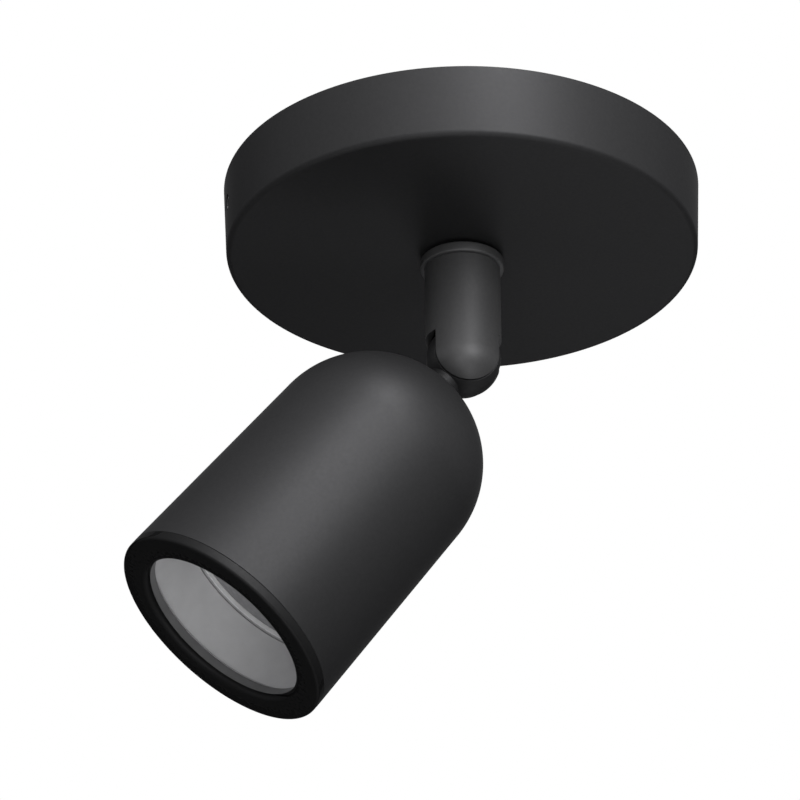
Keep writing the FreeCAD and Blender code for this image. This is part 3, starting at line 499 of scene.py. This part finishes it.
SATIN_TUBE = PlatedMetal("satin_anodised_tube", (0.66, 0.66, 0.67), (0.71, 0.71, 0.72),
                         smooth=0.42, rough=0.50, marks=(0.5, 0.5, 10.0),
                         turn=(0.0, -REST_TILT, 0.0), mark_size=1.0, mark_height=0.001,
                         metal=0.35)
# The tube's front collar is the same satin tube, painted darker as painted shade behind the
# lip.
TUBE_COLLAR_PAINTED_SHADE = replace(SATIN_TUBE, name="tube_collar_painted_shade", dark=(0.155, 0.155, 0.158),
                      light=(0.18, 0.18, 0.184))
WHITE_NYLON = Moulded("white_nylon", (0.74, 0.74, 0.70), (0.82, 0.82, 0.78))
BLACK_FIBRE = Moulded("black_fibre", (0.016, 0.016, 0.016), (0.028, 0.027, 0.026),
                      smooth=0.6, rough=0.75, grain_size=0.35, grain=0.012)
CERAMIC = Moulded("glazed_ceramic", (0.78, 0.76, 0.70), (0.86, 0.84, 0.79),
                  smooth=0.2, rough=0.3, grain_size=1.4, grain=0.010, glaze=0.6)
LAMP_BODY = Moulded("lamp_body_plastic", (0.60, 0.60, 0.61), (0.68, 0.68, 0.69),
                    smooth=0.4, rough=0.5, grain_size=0.45, grain=0.006)
# The bezel is white plastic, painted dark grey here as painted shade deep in the head.
LAMP_RIM_PAINTED_SHADE = Moulded("lamp_rim_painted_shade", (0.36, 0.36, 0.365), (0.41, 0.41, 0.415),
                   smooth=0.4, rough=0.5, grain_size=0.45, grain=0.004)
# A painted highlight: a thin light ring that stands for the glint on the bezel's inner edge.
LAMP_EDGE_PAINTED_HIGHLIGHT = Moulded("lamp_edge_painted_highlight", (0.64, 0.64, 0.645), (0.70, 0.70, 0.705),
                    smooth=0.3, rough=0.4, grain_size=0.45, grain=0.002)
LENS = FrostedLens("frosted_lens")


# ------------------------------------------------------------------ sub-assemblies

@dataclass
class Piece:
    """A new piece: its object, the body it rides on, the nodes it stands for and its finish."""

    item: bpy.types.Object
    body: str
    nodes: tuple[str, ...]
    slot: str
    finish: str

    def place(self, finishes: dict[str, bpy.types.Material]) -> None:
        """Dress the piece, put it on its body and let it stand for its nodes."""
        self.item.data.materials.clear()
        self.item.data.materials.append(finishes[self.finish])
        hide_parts(*self.nodes)
        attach(self.item, self.body)
        LOG.info("%s rides on %s", self.item.name, self.body)


@dataclass
class Canopy:
    """Spun cup against the ceiling and the strap that it is pinned to."""

    radius: float = 60.0
    height: float = 19.0
    wall: float = 1.2
    draft: float = 0.8
    edge_round: float = 1.5
    rim_round: float = 0.3
    inner_round: float = 0.5
    hole_round: float = 0.1
    round_steps: int = 10
    stem_hole: float = 5.08
    pin_hole: float = 2.05
    pin_drop: float = 8.5
    strap_half_width: float = 10.0
    strap_half_length: float = 57.12
    strap_thickness: float = 1.5
    strap_drop: float = 12.5
    bend: float = 1.5
    lug_round: float = 0.3
    entry: float = 8.0
    slot_place: float = 35.0
    slot_half: float = 3.5
    slot_radius: float = 2.5

    def pin_bore(self) -> bpy.types.Object:
        """The tool that bores the holes for the two side screws."""
        reach = self.radius + BEYOND
        bore = drawn_through(disc(self.pin_hole, 0.0, -self.pin_drop), -reach, reach, "X")
        return new_piece("pin_bore", bore, Home.PART)

    def cup(self) -> Piece:
        """The cup: rounded lower edge, slight draft and a rounded rim."""
        foot = self.radius - self.draft
        low, floor = -self.height, self.wall - self.height
        outline = rounded([
            (self.stem_hole, low, self.hole_round), (foot, low, self.edge_round),
            (self.radius, 0.0, self.rim_round),
            (self.radius - self.wall, 0.0, self.rim_round),
            (foot - self.wall, floor, self.inner_round),
            (self.stem_hole, floor, self.hole_round),
        ], steps=self.round_steps)
        item = new_piece("canopy_cup", spun(outline, FINE), Home.PART)
        cut(item, [self.pin_bore()])
        return Piece(item, "canopy", ("canopy_cover",), "black_steel", "black_coat")

    def strap(self) -> Piece:
        """The bent strap with its cable entry, two slots and pin holes."""
        end, inner = self.strap_half_length, self.strap_half_length - self.strap_thickness
        low, under = -self.strap_drop, -self.strap_thickness
        outer_bend = self.bend + self.strap_thickness
        outline = rounded([
            (-end, low, self.lug_round), (-inner, low, self.lug_round),
            (-inner, under, self.bend), (inner, under, self.bend),
            (inner, low, self.lug_round), (end, low, self.lug_round),
            (end, 0.0, outer_bend), (-end, 0.0, outer_bend),
        ])
        half = self.strap_half_width
        item = new_piece("strap", drawn_through(outline, -half, half, "Y"), Home.PART)
        through = (under - BEYOND, BEYOND)
        tools = [new_piece("entry", drawn_through(disc(self.entry), *through), Home.PART)]
        for middle in (-self.slot_place, self.slot_place):
            outline = oblong(middle, self.slot_half, self.slot_radius)
            tools.append(new_piece("slot", drawn_through(outline, *through), Home.PART))
        cut(item, [*tools, self.pin_bore()])
        return Piece(item, "canopy", ("mounting_bracket",), "zinc_steel", "zinc")

    def pieces(self) -> list[Piece]:
        """The canopy's new pieces."""
        return [self.cup(), self.strap()]


@dataclass
class Connector:
    """Three pole connector block under the strap, with its screws."""

    place: float = 20.0
    width: float = 10.5
    length: float = 26.0
    corner: float = 1.2
    top: float = -1.5
    height: float = 10.0
    pitch: float = 8.0
    notch: float = 1.2
    notch_height: float = 1.5
    notch_round: float = 0.5
    wire_radius: float = 1.6
    wire_drop: float = 5.5
    fixing_radius: float = 1.45
    screw_radius: float = 1.5
    screw_stand: float = 0.8
    screw_round: float = 0.3
    screw_slot: float = 0.5

    def low(self) -> float:
        """Height of the block's underside."""
        return self.top - self.height

    def sides(self) -> tuple[float, float]:
        """Where the block's two long sides are."""
        return self.place - self.width / 2, self.place + self.width / 2

    def across(self, name: str, outline: Sequence[Point]) -> bpy.types.Object:
        """A cutting tool through both long sides."""
        left, right = self.sides()
        return new_piece(name, drawn_through(outline, left - BEYOND, right + BEYOND, "X"),
                         Home.PART)

    def block(self) -> Piece:
        """The moulded block with its fixing hole, wire holes and notches between the poles."""
        left, right = self.sides()
        half = self.length / 2
        item = new_piece("connector_block", drawn_through(rounded([
            (left, -half, self.corner), (right, -half, self.corner),
            (right, half, self.corner), (left, half, self.corner),
        ]), self.low(), self.top), Home.PART)
        tools = [new_piece("fixing_hole", drawn_through(
            disc(self.fixing_radius, self.place, self.pitch / 2),
            self.low() - BEYOND, self.top + BEYOND), Home.PART)]
        for number in (-1, 0, 1):
            tools.append(self.across("wire_hole", disc(
                self.wire_radius, number * self.pitch, self.top - self.wire_drop)))
        for middle in (-self.pitch / 2, self.pitch / 2):
            near, far = middle - self.notch / 2, middle + self.notch / 2
            roof = self.low() + self.notch_height
            tools.append(self.across("notch", rounded([
                (near, self.low() - BEYOND, 0.0), (far, self.low() - BEYOND, 0.0),
                (far, roof, self.notch_round), (near, roof, self.notch_round),
            ])))
        cut(item, tools)
        return Piece(item, "canopy", ("terminal_block",), "white_nylon", "white_nylon")

    def clamp_screw(self, name: str, across: float, along: float) -> Piece:
        """One clamping screw's head with its driver slot.

        Args:
            name: the piece's name.
            across: where its axis is on X.
            along: where its axis is on Y.

        Returns:
            The dressed head.
        """
        low = self.low()
        face = low - self.screw_stand
        build = spun(rounded([
            (0.0, face, 0.0), (self.screw_radius, face, self.screw_round),
            (self.screw_radius, low, 0.0), (0.0, low, 0.0),
        ]), SMALL)
        bmesh.ops.translate(build, verts=build.verts, vec=(across, along, 0.0))
        item = new_piece(name, build, Home.PART)
        reach, half = self.screw_radius + BEYOND, self.screw_slot / 2
        slot = drawn_through([
            (across - reach, along - half), (across + reach, along - half),
            (across + reach, along + half), (across - reach, along + half),
        ], face - BEYOND, low - self.screw_stand / 2)
        cut(item, [new_piece("driver_slot", slot, Home.PART)])
        return Piece(item, "canopy", ("terminal_screws",), "screw_steel", "screw_steel")

    def clamp_screws(self) -> list[Piece]:
        """The slotted heads of the six clamping screws."""
        rows = (self.place - self.width / 4, self.place + self.width / 4)
        return [self.clamp_screw("clamp_screw_%d_%d" % (row, number + 2), across,
                                 number * self.pitch)
                for row, across in enumerate(rows) for number in (-1, 0, 1)]

    def pieces(self) -> list[Piece]:
        """The connector's new pieces."""
        return [self.block(), *self.clamp_screws()]


@dataclass
class Stem:
    """Collar and forked stem that hang from the swivel."""

    top: float = -20.2
    collar_radius: float = 10.5
    collar_height: float = 2.7
    collar_round: float = 0.5
    bore: float = 5.05
    bore_round: float = 0.2
    bore_depth: float = 9.5
    lead_bore: float = 3.4
    radius: float = 9.5
    top_round: float = 0.15
    ball_steps: int = 48
    slot_half: float = 5.15
    roof: float = 9.65
    roof_steps: int = 40
    shoulder: float = 5.4
    pivot_hole: float = 2.55
    pivot_end: float = 7.85
    recess: float = 4.2
    recess_floor: float = 7.0

    def collar(self) -> Piece:
        """The turned collar with its rounded edges."""
        low = self.top - self.collar_height
        outline = rounded([
            (self.bore, low, self.bore_round), (self.collar_radius, low, self.collar_round),
            (self.collar_radius, self.top, self.collar_round),
            (self.bore, self.top, self.bore_round),
        ])
        item = new_piece("turned_collar", spun(outline, FINE), Home.PART)
        # The collar's coat is the black coat painted lighter as painted light.
        return Piece(item, "stem", ("stem_collar",), "black_cast", "stem_coat_lit")

    def slot(self) -> list[Point]:
        """Outline of the slot: open sides below the shoulders and an arched roof."""
        reach = self.radius + BEYOND
        side = -PIVOT_DROP + self.shoulder
        low = -PIVOT_DROP - reach
        spring = math.degrees(math.asin(self.shoulder / self.roof))
        arch = arc(self.roof, -PIVOT_DROP, spring, 180.0 - spring, self.roof_steps)
        return [(-reach, low), (reach, low), (reach, side), *(spot[:2] for spot in arch),
                (-reach, side)]

    def fork(self) -> Piece:
        """The round stem with its ball end, slotted for the tongue and bored."""
        top = self.top - self.collar_height
        corners = [(0.0, top, 0.0), (self.radius, top, self.top_round)]
        corners += arc(self.radius, -PIVOT_DROP, 0.0, -90.0, self.ball_steps)[:-1]
        corners.append((0.0, -PIVOT_DROP - self.radius, 0.0))
        item = new_piece("forked_stem", spun(rounded(corners), FINE), Home.PART)
        outside = self.radius + BEYOND
        pivot = (0.0, -PIVOT_DROP)
        cuts = {
            "nipple_bore": drawn_through(disc(self.bore), top - self.bore_depth, top + BEYOND),
            "lead_bore": drawn_through(disc(self.lead_bore), -PIVOT_DROP, top + BEYOND),
            "slot": drawn_through(self.slot(), -self.slot_half, self.slot_half, "Y"),
            "pivot_hole": drawn_through(disc(self.pivot_hole, *pivot), -self.pivot_end,
                                        outside, "Y"),
            "recess": drawn_through(disc(self.recess, *pivot), self.recess_floor, outside, "Y"),
        }
        cut(item, [new_piece(name, build, Home.PART) for name, build in cuts.items()])
        # The fork's coat is the black coat painted lighter as painted light, brightening its
        # ball end.
        return Piece(item, "stem", ("fork_stem",), "black_cast", "stem_coat_lit")

    def pieces(self) -> list[Piece]:
        """The stem's new pieces."""
        return [self.collar(), self.fork()]


@dataclass
class Barrel:
    """The bullet shaped shell: flared barrel, round back and a boss for the neck."""

    neck_stand: float = 11.3
    front_radius: float = 29.5
    back_radius: float = 27.7
    wall: float = 1.6
    seat: float = 5.3
    shank: float = 4.2
    boss_radius: float = 10.8
    boss_thickness: float = 3.8
    boss_round: float = 0.2
    mouth: float = 27.5
    mouth_depth: float = 6.6
    mouth_round: float = 0.1
    ledge: float = 27.3
    ledge_round: float = 0.05
    back_steps: int = 48
    inside_steps: int = 32

    def start(self) -> float:
        """Height where the straight part starts."""
        return -self.back_radius - self.neck_stand

    def outside(self, height: float) -> float:
        """Outer radius at a height of the straight part."""
        share = (self.start() - height) / (self.start() - HEAD_FRONT)
        return self.back_radius + (self.front_radius - self.back_radius) * share

    def pieces(self) -> list[Piece]:
        """The shell."""
        start = self.start()
        seam = HEAD_FRONT + RING_THICKNESS
        floor = seam + self.mouth_depth
        first = math.degrees(math.acos(self.seat / self.back_radius))
        inner = self.back_radius - self.wall
        last = math.degrees(math.acos(self.boss_radius / inner))
        seat_height = start + math.sqrt(self.back_radius ** 2 - self.seat ** 2)
        boss_face = seat_height - self.boss_thickness
        corners = [(self.shank, seat_height, 0.0)]
        corners += arc(self.back_radius, start, first, 0.0, self.back_steps)
        corners += [
            (self.outside(seam), seam, SEAM_ROUND), (self.mouth, seam, self.mouth_round),
            (self.mouth, floor, self.ledge_round), (self.ledge, floor, self.ledge_round),
        ]
        corners += arc(inner, start, 0.0, last, self.inside_steps)
        corners += [(self.boss_radius, boss_face, self.boss_round),
                    (self.shank, boss_face, 0.0)]
        item = new_piece("bullet_shell", spun(rounded(corners), FINE), Home.HEAD)
        return [Piece(item, "head", ("head_shell",), "black_cast", "black_coat")]


@dataclass
class MouthRing:
    """Screwed front ring with a rounded inner lip."""

    outside: float = 29.422
    edge: float = 0.78
    opening: float = 22.3
    lip_round: float = 1.4
    lip_back_round: float = 0.12
    spigot: float = 27.2
    spigot_length: float = 6.0
    spigot_root: float = 0.1
    spigot_round: float = 0.3
    rebate: float = 24.7
    rebate_round: float = 0.2
    rebate_root: float = 0.05
    round_steps: int = 10

    def pieces(self) -> list[Piece]:
        """The ring."""
        seam = HEAD_FRONT + RING_THICKNESS
        lip_back, back = HEAD_FRONT + RING_LIP, seam + self.spigot_length
        outline = rounded([
            (self.opening, HEAD_FRONT, self.lip_round), (self.outside, HEAD_FRONT, self.edge),
            (self.outside, seam, SEAM_ROUND), (self.spigot, seam, self.spigot_root),
            (self.spigot, back, self.spigot_round), (self.rebate, back, self.rebate_round),
            (self.rebate, lip_back, self.rebate_root),
            (self.opening, lip_back, self.lip_back_round),
        ], steps=self.round_steps)
        item = new_piece("mouth_ring", spun(outline, FINE), Home.HEAD)
        # The ring's coat is the black coat painted darker as painted shade.
        return [Piece(item, "trim", ("front_ring",), "black_cast", "ring_coat_shaded")]


@dataclass
class GlareTube:
    """Satin tube between the lip and the lamp; its front collar is painted darker as painted
    shade behind the lip.
    """

    front: float = HEAD_FRONT + RING_LIP
    back: float = LAMP_FACE - 0.2
    outside: float = 24.4
    wall: float = 0.8
    collar: float = 22.6
    collar_length: float = 2.3
    collar_round: float = 0.15
    front_round: float = 0.1
    bevel: float = 0.8
    bevel_set: float = 0.05
    bevel_round: float = 0.2
    back_round: float = 0.2
    inner_round: float = 0.3
    round_steps: int = 4

    def step(self) -> float:
        """Height of the collar's back."""
        return self.front + self.collar_length

    def front_collar(self) -> Piece:
        """The collar behind the lip, painted darker as the lip's painted shade."""
        outline = rounded([
            (self.collar, self.front, self.collar_round),
            (self.outside, self.front, self.front_round),
            (self.outside, self.step(), 0.0), (self.collar, self.step(), self.collar_round),
        ], steps=self.round_steps)
        item = new_piece("shaded_tube_collar", spun(outline, FINE), Home.HEAD)
        return Piece(item, "glare_tube", ("glare_sleeve",), "satin_grey", "shaded_tube_collar")

    def tube(self) -> Piece:
        """The tube behind its collar, bevelled towards it."""
        inside = self.outside - self.wall
        outline = rounded([
            (self.collar + self.bevel_set, self.step(), 0.0), (self.outside, self.step(), 0.0),
            (self.outside, self.back, self.back_round), (inside, self.back, self.inner_round),
            (inside, self.step() + self.bevel, self.bevel_round),
        ], steps=self.round_steps)
        item = new_piece("satin_tube", spun(outline, FINE), Home.HEAD)
        return Piece(item, "glare_tube", ("glare_sleeve",), "satin_grey", "satin_tube")

    def pieces(self) -> list[Piece]:
        """The tube's new pieces."""
        return [self.front_collar(), self.tube()]


@dataclass
class Lamp:
    """Front of the reflector lamp: pebbled lens, its bezel painted dark as shade, and a painted
    highlight ring at the bezel's inner edge.
    """

    face: float = LAMP_FACE
    radius: float = 25.0
    rim: float = 22.6
    depth: float = 5.0
    lip: float = 1.0
    lens_thickness: float = 1.6
    lens_gap: float = 0.05
    lens_round: float = 0.2
    crown: float = 0.5
    crown_round: float = 0.6
    band: float = 3.0
    shell: float = 1.0
    front_round: float = 0.6
    back_round: float = 0.1
    # Width and roundings of the painted highlight ring at the bezel's inner edge.
    edge: float = 0.2
    edge_round: float = 0.12
    edge_outer_round: float = 0.08

    def lens_back(self) -> float:
        """Height of the lens's back."""
        return self.face + self.lip + self.lens_thickness

    def lens(self) -> Piece:
        """The lens, slightly crowned, with a plain band round its edge."""
        front, back = self.face + self.lip, self.lens_back()
        edge = self.rim - self.lens_gap
        outline = rounded([
            (0.0, front - self.crown, 0.0), (edge - self.band, front, self.crown_round),
            (edge, front, self.lens_round), (edge, back, 0.0), (0.0, back, 0.0),
        ])
        item = new_piece("pebbled_lens", spun(outline, COARSE), Home.HEAD)
        return Piece(item, "lamp", ("lamp_lens",), "lamp_lens", "lens")

    def bezel(self) -> Piece:
        """The bezel that clips over the lens, painted dark grey as painted shade."""
        back, lens_back = self.face + self.depth, self.lens_back()
        inner, inside = self.rim + self.edge, self.radius - self.shell
        outline = rounded([
            (inner, self.face, 0.0), (self.radius, self.face, self.front_round),
            (self.radius, back, self.back_round), (inside, back, self.back_round),
            (inside, lens_back, self.back_round), (inner, lens_back, 0.0),
        ])
        item = new_piece("shaded_lamp_rim", spun(outline, FINE), Home.HEAD)
        return Piece(item, "lamp", ("lamp_bezel",), "lamp_white", "shaded_lamp_rim")

    def painted_highlight_edge(self) -> Piece:
        """A thin ring painted light as a highlight at the bezel's inner edge round the lens."""
        inner, outer = self.rim, self.rim + self.edge
        outline = rounded([
            (inner, self.face, self.edge_round), (outer, self.face, self.edge_outer_round),
            (outer, self.lens_back(), 0.0), (inner, self.lens_back(), 0.0),
        ])
        item = new_piece("highlight_lamp_edge", spun(outline, FINE), Home.HEAD)
        return Piece(item, "lamp", ("lamp_bezel",), "lamp_white", "highlight_lamp_edge")

    def pieces(self) -> list[Piece]:
        """The lamp's new pieces."""
        return [self.lens(), self.bezel(), self.painted_highlight_edge()]


# ------------------------------------------------------------------ studio

@dataclass(frozen=True)
class ViewFrom:
    """The photograph's camera, fitted to the canopy's edges, the mouth and the barrel."""

    turn: float = -10.1
    rise: float = 28.23
    roll: float = -0.48
    focal_pixels: float = 4741.0
    frame_pixels: float = 800.0
    sensor: float = 36.0
    place: tuple[float, float, float] = (15.45, -52.56, 1200.0)
    nearest: float = 0.05

    def axes(self) -> Matrix:
        """Rows: the camera's right, down and forward directions in the part's frame."""
        rise, roll = math.radians(self.rise), math.radians(self.roll)
        level = Matrix(((1, 0, 0), (0, math.sin(rise), -math.cos(rise)),
                        (0, math.cos(rise), math.sin(rise))))
        lean = Matrix(((math.cos(roll), -math.sin(roll), 0),
                       (math.sin(roll), math.cos(roll), 0), (0, 0, 1)))
        return lean @ level @ Matrix.Rotation(math.radians(-self.turn), 3, "Z")

    def make(self) -> None:
        """Add the camera and make it the scene's."""
        axes = self.axes()
        spot = -(axes.transposed() @ Vector(self.place)) * MM
        right, down, ahead = axes
        data = bpy.data.cameras.new("camera")
        data.sensor_width = self.sensor
        data.lens = self.sensor * self.focal_pixels / self.frame_pixels
        data.clip_start = self.nearest
        camera = bpy.data.objects.new("camera", data)
        turn = Matrix((right, -down, -ahead)).transposed().to_4x4()
        camera.matrix_world = Matrix.Translation(spot) @ turn
        bpy.context.scene.collection.objects.link(camera)
        bpy.context.scene.camera = camera

    def beside(self, right: float, up: float, distance: float) -> Vector:
        """A place round the part.

        Args:
            right: degrees to the right of the camera, seen from above.
            up: degrees above the level.
            distance: metres from the pivot.

        Returns:
            The place in the part's frame.
        """
        turn = math.radians(self.turn + right - 90.0)
        rise = math.radians(up)
        level = Vector((math.cos(turn), math.sin(turn), 0.0)) * math.cos(rise)
        return PIVOT + distance * (level + Vector((0.0, 0.0, math.sin(rise))))


@dataclass(frozen=True)
class SoftLight:
    """A soft square lamp that faces the knuckle."""

    name: str
    right: float
    up: float
    watts: float
    distance: float = 1.5
    size: float = 0.6

    def make(self, view: ViewFrom) -> None:
        """Add the lamp."""
        data = bpy.data.lights.new(self.name, "AREA")
        data.shape = "SQUARE"
        data.size = self.size
        data.energy = self.watts
        lamp = bpy.data.objects.new(self.name, data)
        spot = view.beside(self.right, self.up, self.distance)
        turn = (PIVOT - spot).to_track_quat("-Z", "Y").to_matrix().to_4x4()
        lamp.matrix_world = Matrix.Translation(spot) @ turn
        bpy.context.scene.collection.objects.link(lamp)


@dataclass
class Studio:
    """White surroundings, a pale floor far below and soft lamps."""

    ambient: float = 0.12
    floor_drop: float = 1.4
    floor_size: float = 24.0
    floor_colour: Colour = (0.78, 0.78, 0.78)
    floor_rough: float = 0.9
    floor_gloss: float = 0.1
    lamps: list[SoftLight] = field(default_factory=lambda: [
        SoftLight("high", 20.0, 45.0, 25.0),
        SoftLight("high_front", 18.0, 28.0, 4.5),
        SoftLight("high_left", -20.0, 28.0, 3.5),
        SoftLight("front", 20.0, 5.0, 11.5),
        SoftLight("right", 35.0, 5.0, 5.0),
        SoftLight("by_camera", -11.0, -24.0, 4.5),
        SoftLight("below_left", -20.0, -60.0, 2.0),
        SoftLight("below_right", 30.0, -60.0, 4.0),
        SoftLight("behind", 168.0, -38.0, 2.8),
    ])

    def world(self) -> None:
        """White to the camera and in reflections, dimmer as light."""
        world = bpy.data.worlds.new("surroundings")
        world.use_nodes = True
        tree = world.node_tree
        tree.nodes.clear()
        path = tree.nodes.new("ShaderNodeLightPath")
        seen = path.outputs["Is Camera Ray"]
        for ray in ("Is Glossy Ray", "Is Transmission Ray"):
            either = tree.nodes.new("ShaderNodeMath")
            either.operation = "MAXIMUM"
            tree.links.new(seen, either.inputs[0])
            tree.links.new(path.outputs[ray], either.inputs[1])
            seen = either.outputs[0]
        light, white = (tree.nodes.new("ShaderNodeBackground") for _ in range(2))
        light.inputs["Strength"].default_value = self.ambient
        light.inputs["Color"].default_value = (1.0, 1.0, 1.0, 1.0)
        white.inputs["Color"].default_value = (1.0, 1.0, 1.0, 1.0)
        mix = tree.nodes.new("ShaderNodeMixShader")
        output = tree.nodes.new("ShaderNodeOutputWorld")
        tree.links.new(seen, mix.inputs[0])
        tree.links.new(light.outputs[0], mix.inputs[1])
        tree.links.new(white.outputs[0], mix.inputs[2])
        tree.links.new(mix.outputs[0], output.inputs["Surface"])
        bpy.context.scene.world = world

    def floor(self) -> None:
        """A large pale floor, out of the camera's view."""
        build = bmesh.new()
        bmesh.ops.create_grid(build, x_segments=1, y_segments=1, size=self.floor_size / 2)
        mesh = bpy.data.meshes.new("floor")
        build.to_mesh(mesh)
        build.free()
        item = bpy.data.objects.new("floor", mesh)
        item.location = (0.0, 0.0, -self.floor_drop)
        bpy.context.scene.collection.objects.link(item)
        weave = Weave("pale_floor")
        weave.set(Base_Color=(*self.floor_colour, 1.0), Roughness=self.floor_rough,
                  Specular_IOR_Level=self.floor_gloss)
        mesh.materials.append(weave.material)

    def make(self) -> None:
        """Add the camera, world, floor and lamps."""
        view = ViewFrom()
        view.make()
        self.world()
        self.floor()
        for lamp in self.lamps:
            lamp.make(view)
        bpy.context.scene.view_settings.view_transform = "Standard"


# ------------------------------------------------------------------ dressing

NODE_FINISHES: dict[str, str] = {
    "canopy_side_screws": "blackened",
    "terminal_fixing_screw": "screw_steel",
    "earth_washer": "zinc",
    "earth_screw": "brass",
    "stop_stud": "zinc",
    "swivel_washer": "black_fibre",
    "stop_washer": "zinc",
    "stem_nut": "zinc",
    "stem_nipple": "brass",
    "pivot_screw": "blackened",
    "friction_washers": "black_fibre",
    "knuckle": "black_coat",
    "lampholder_cradle": "zinc",
    "knuckle_washer": "zinc",
    "knuckle_nut": "zinc",
    "lampholder_body": "ceramic",
    "lampholder_plate": "ceramic",
    "lampholder_contacts": "brass",
    "lampholder_screws": "screw_steel",
    "lamp_housing": "lamp_body",
    "lamp_base": "lamp_body",
    "lamp_pins": "screw_steel",
}

FINISHES: dict[str, Finish] = {
    "black_coat": BLACK_COAT,
    "ring_coat_shaded": RING_COAT_PAINTED_SHADE,
    "stem_coat_lit": STEM_COAT_PAINTED_LIGHT,
    "blackened": BLACKENED,
    "zinc": ZINC,
    "screw_steel": SCREW_STEEL,
    "brass": TURNED_BRASS,
    "satin_tube": SATIN_TUBE,
    "white_nylon": WHITE_NYLON,
    "black_fibre": BLACK_FIBRE,
    "ceramic": CERAMIC,
    "lamp_body": LAMP_BODY,
    "shaded_tube_collar": TUBE_COLLAR_PAINTED_SHADE,
    "shaded_lamp_rim": LAMP_RIM_PAINTED_SHADE,
    "highlight_lamp_edge": LAMP_EDGE_PAINTED_HIGHLIGHT,
    "lens": LENS,
}


def dress_nodes(finishes: dict[str, bpy.types.Material]) -> None:
    """Give each kept CAD node its finish.

    Args:
        finishes: the materials by name.
    """
    for node, finish in NODE_FINISHES.items():
        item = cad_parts[node]
        item.data.materials.clear()
        item.data.materials.append(finishes[finish])
        LOG.info("%s keeps its shape and gets %s", node, finish)


def main() -> None:
    """Build and dress the whole spotlight in its studio."""
    logging.basicConfig(level=logging.INFO, format="%(name)s: %(message)s")
    finishes = {name: finish.build() for name, finish in FINISHES.items()}
    dress_nodes(finishes)
    for assembly in (Canopy(), Connector(), Stem(), Barrel(), MouthRing(), GlareTube(), Lamp()):
        for piece in assembly.pieces():
            piece.place(finishes)
    Studio().make()


if __name__ == "__main__":
    main()
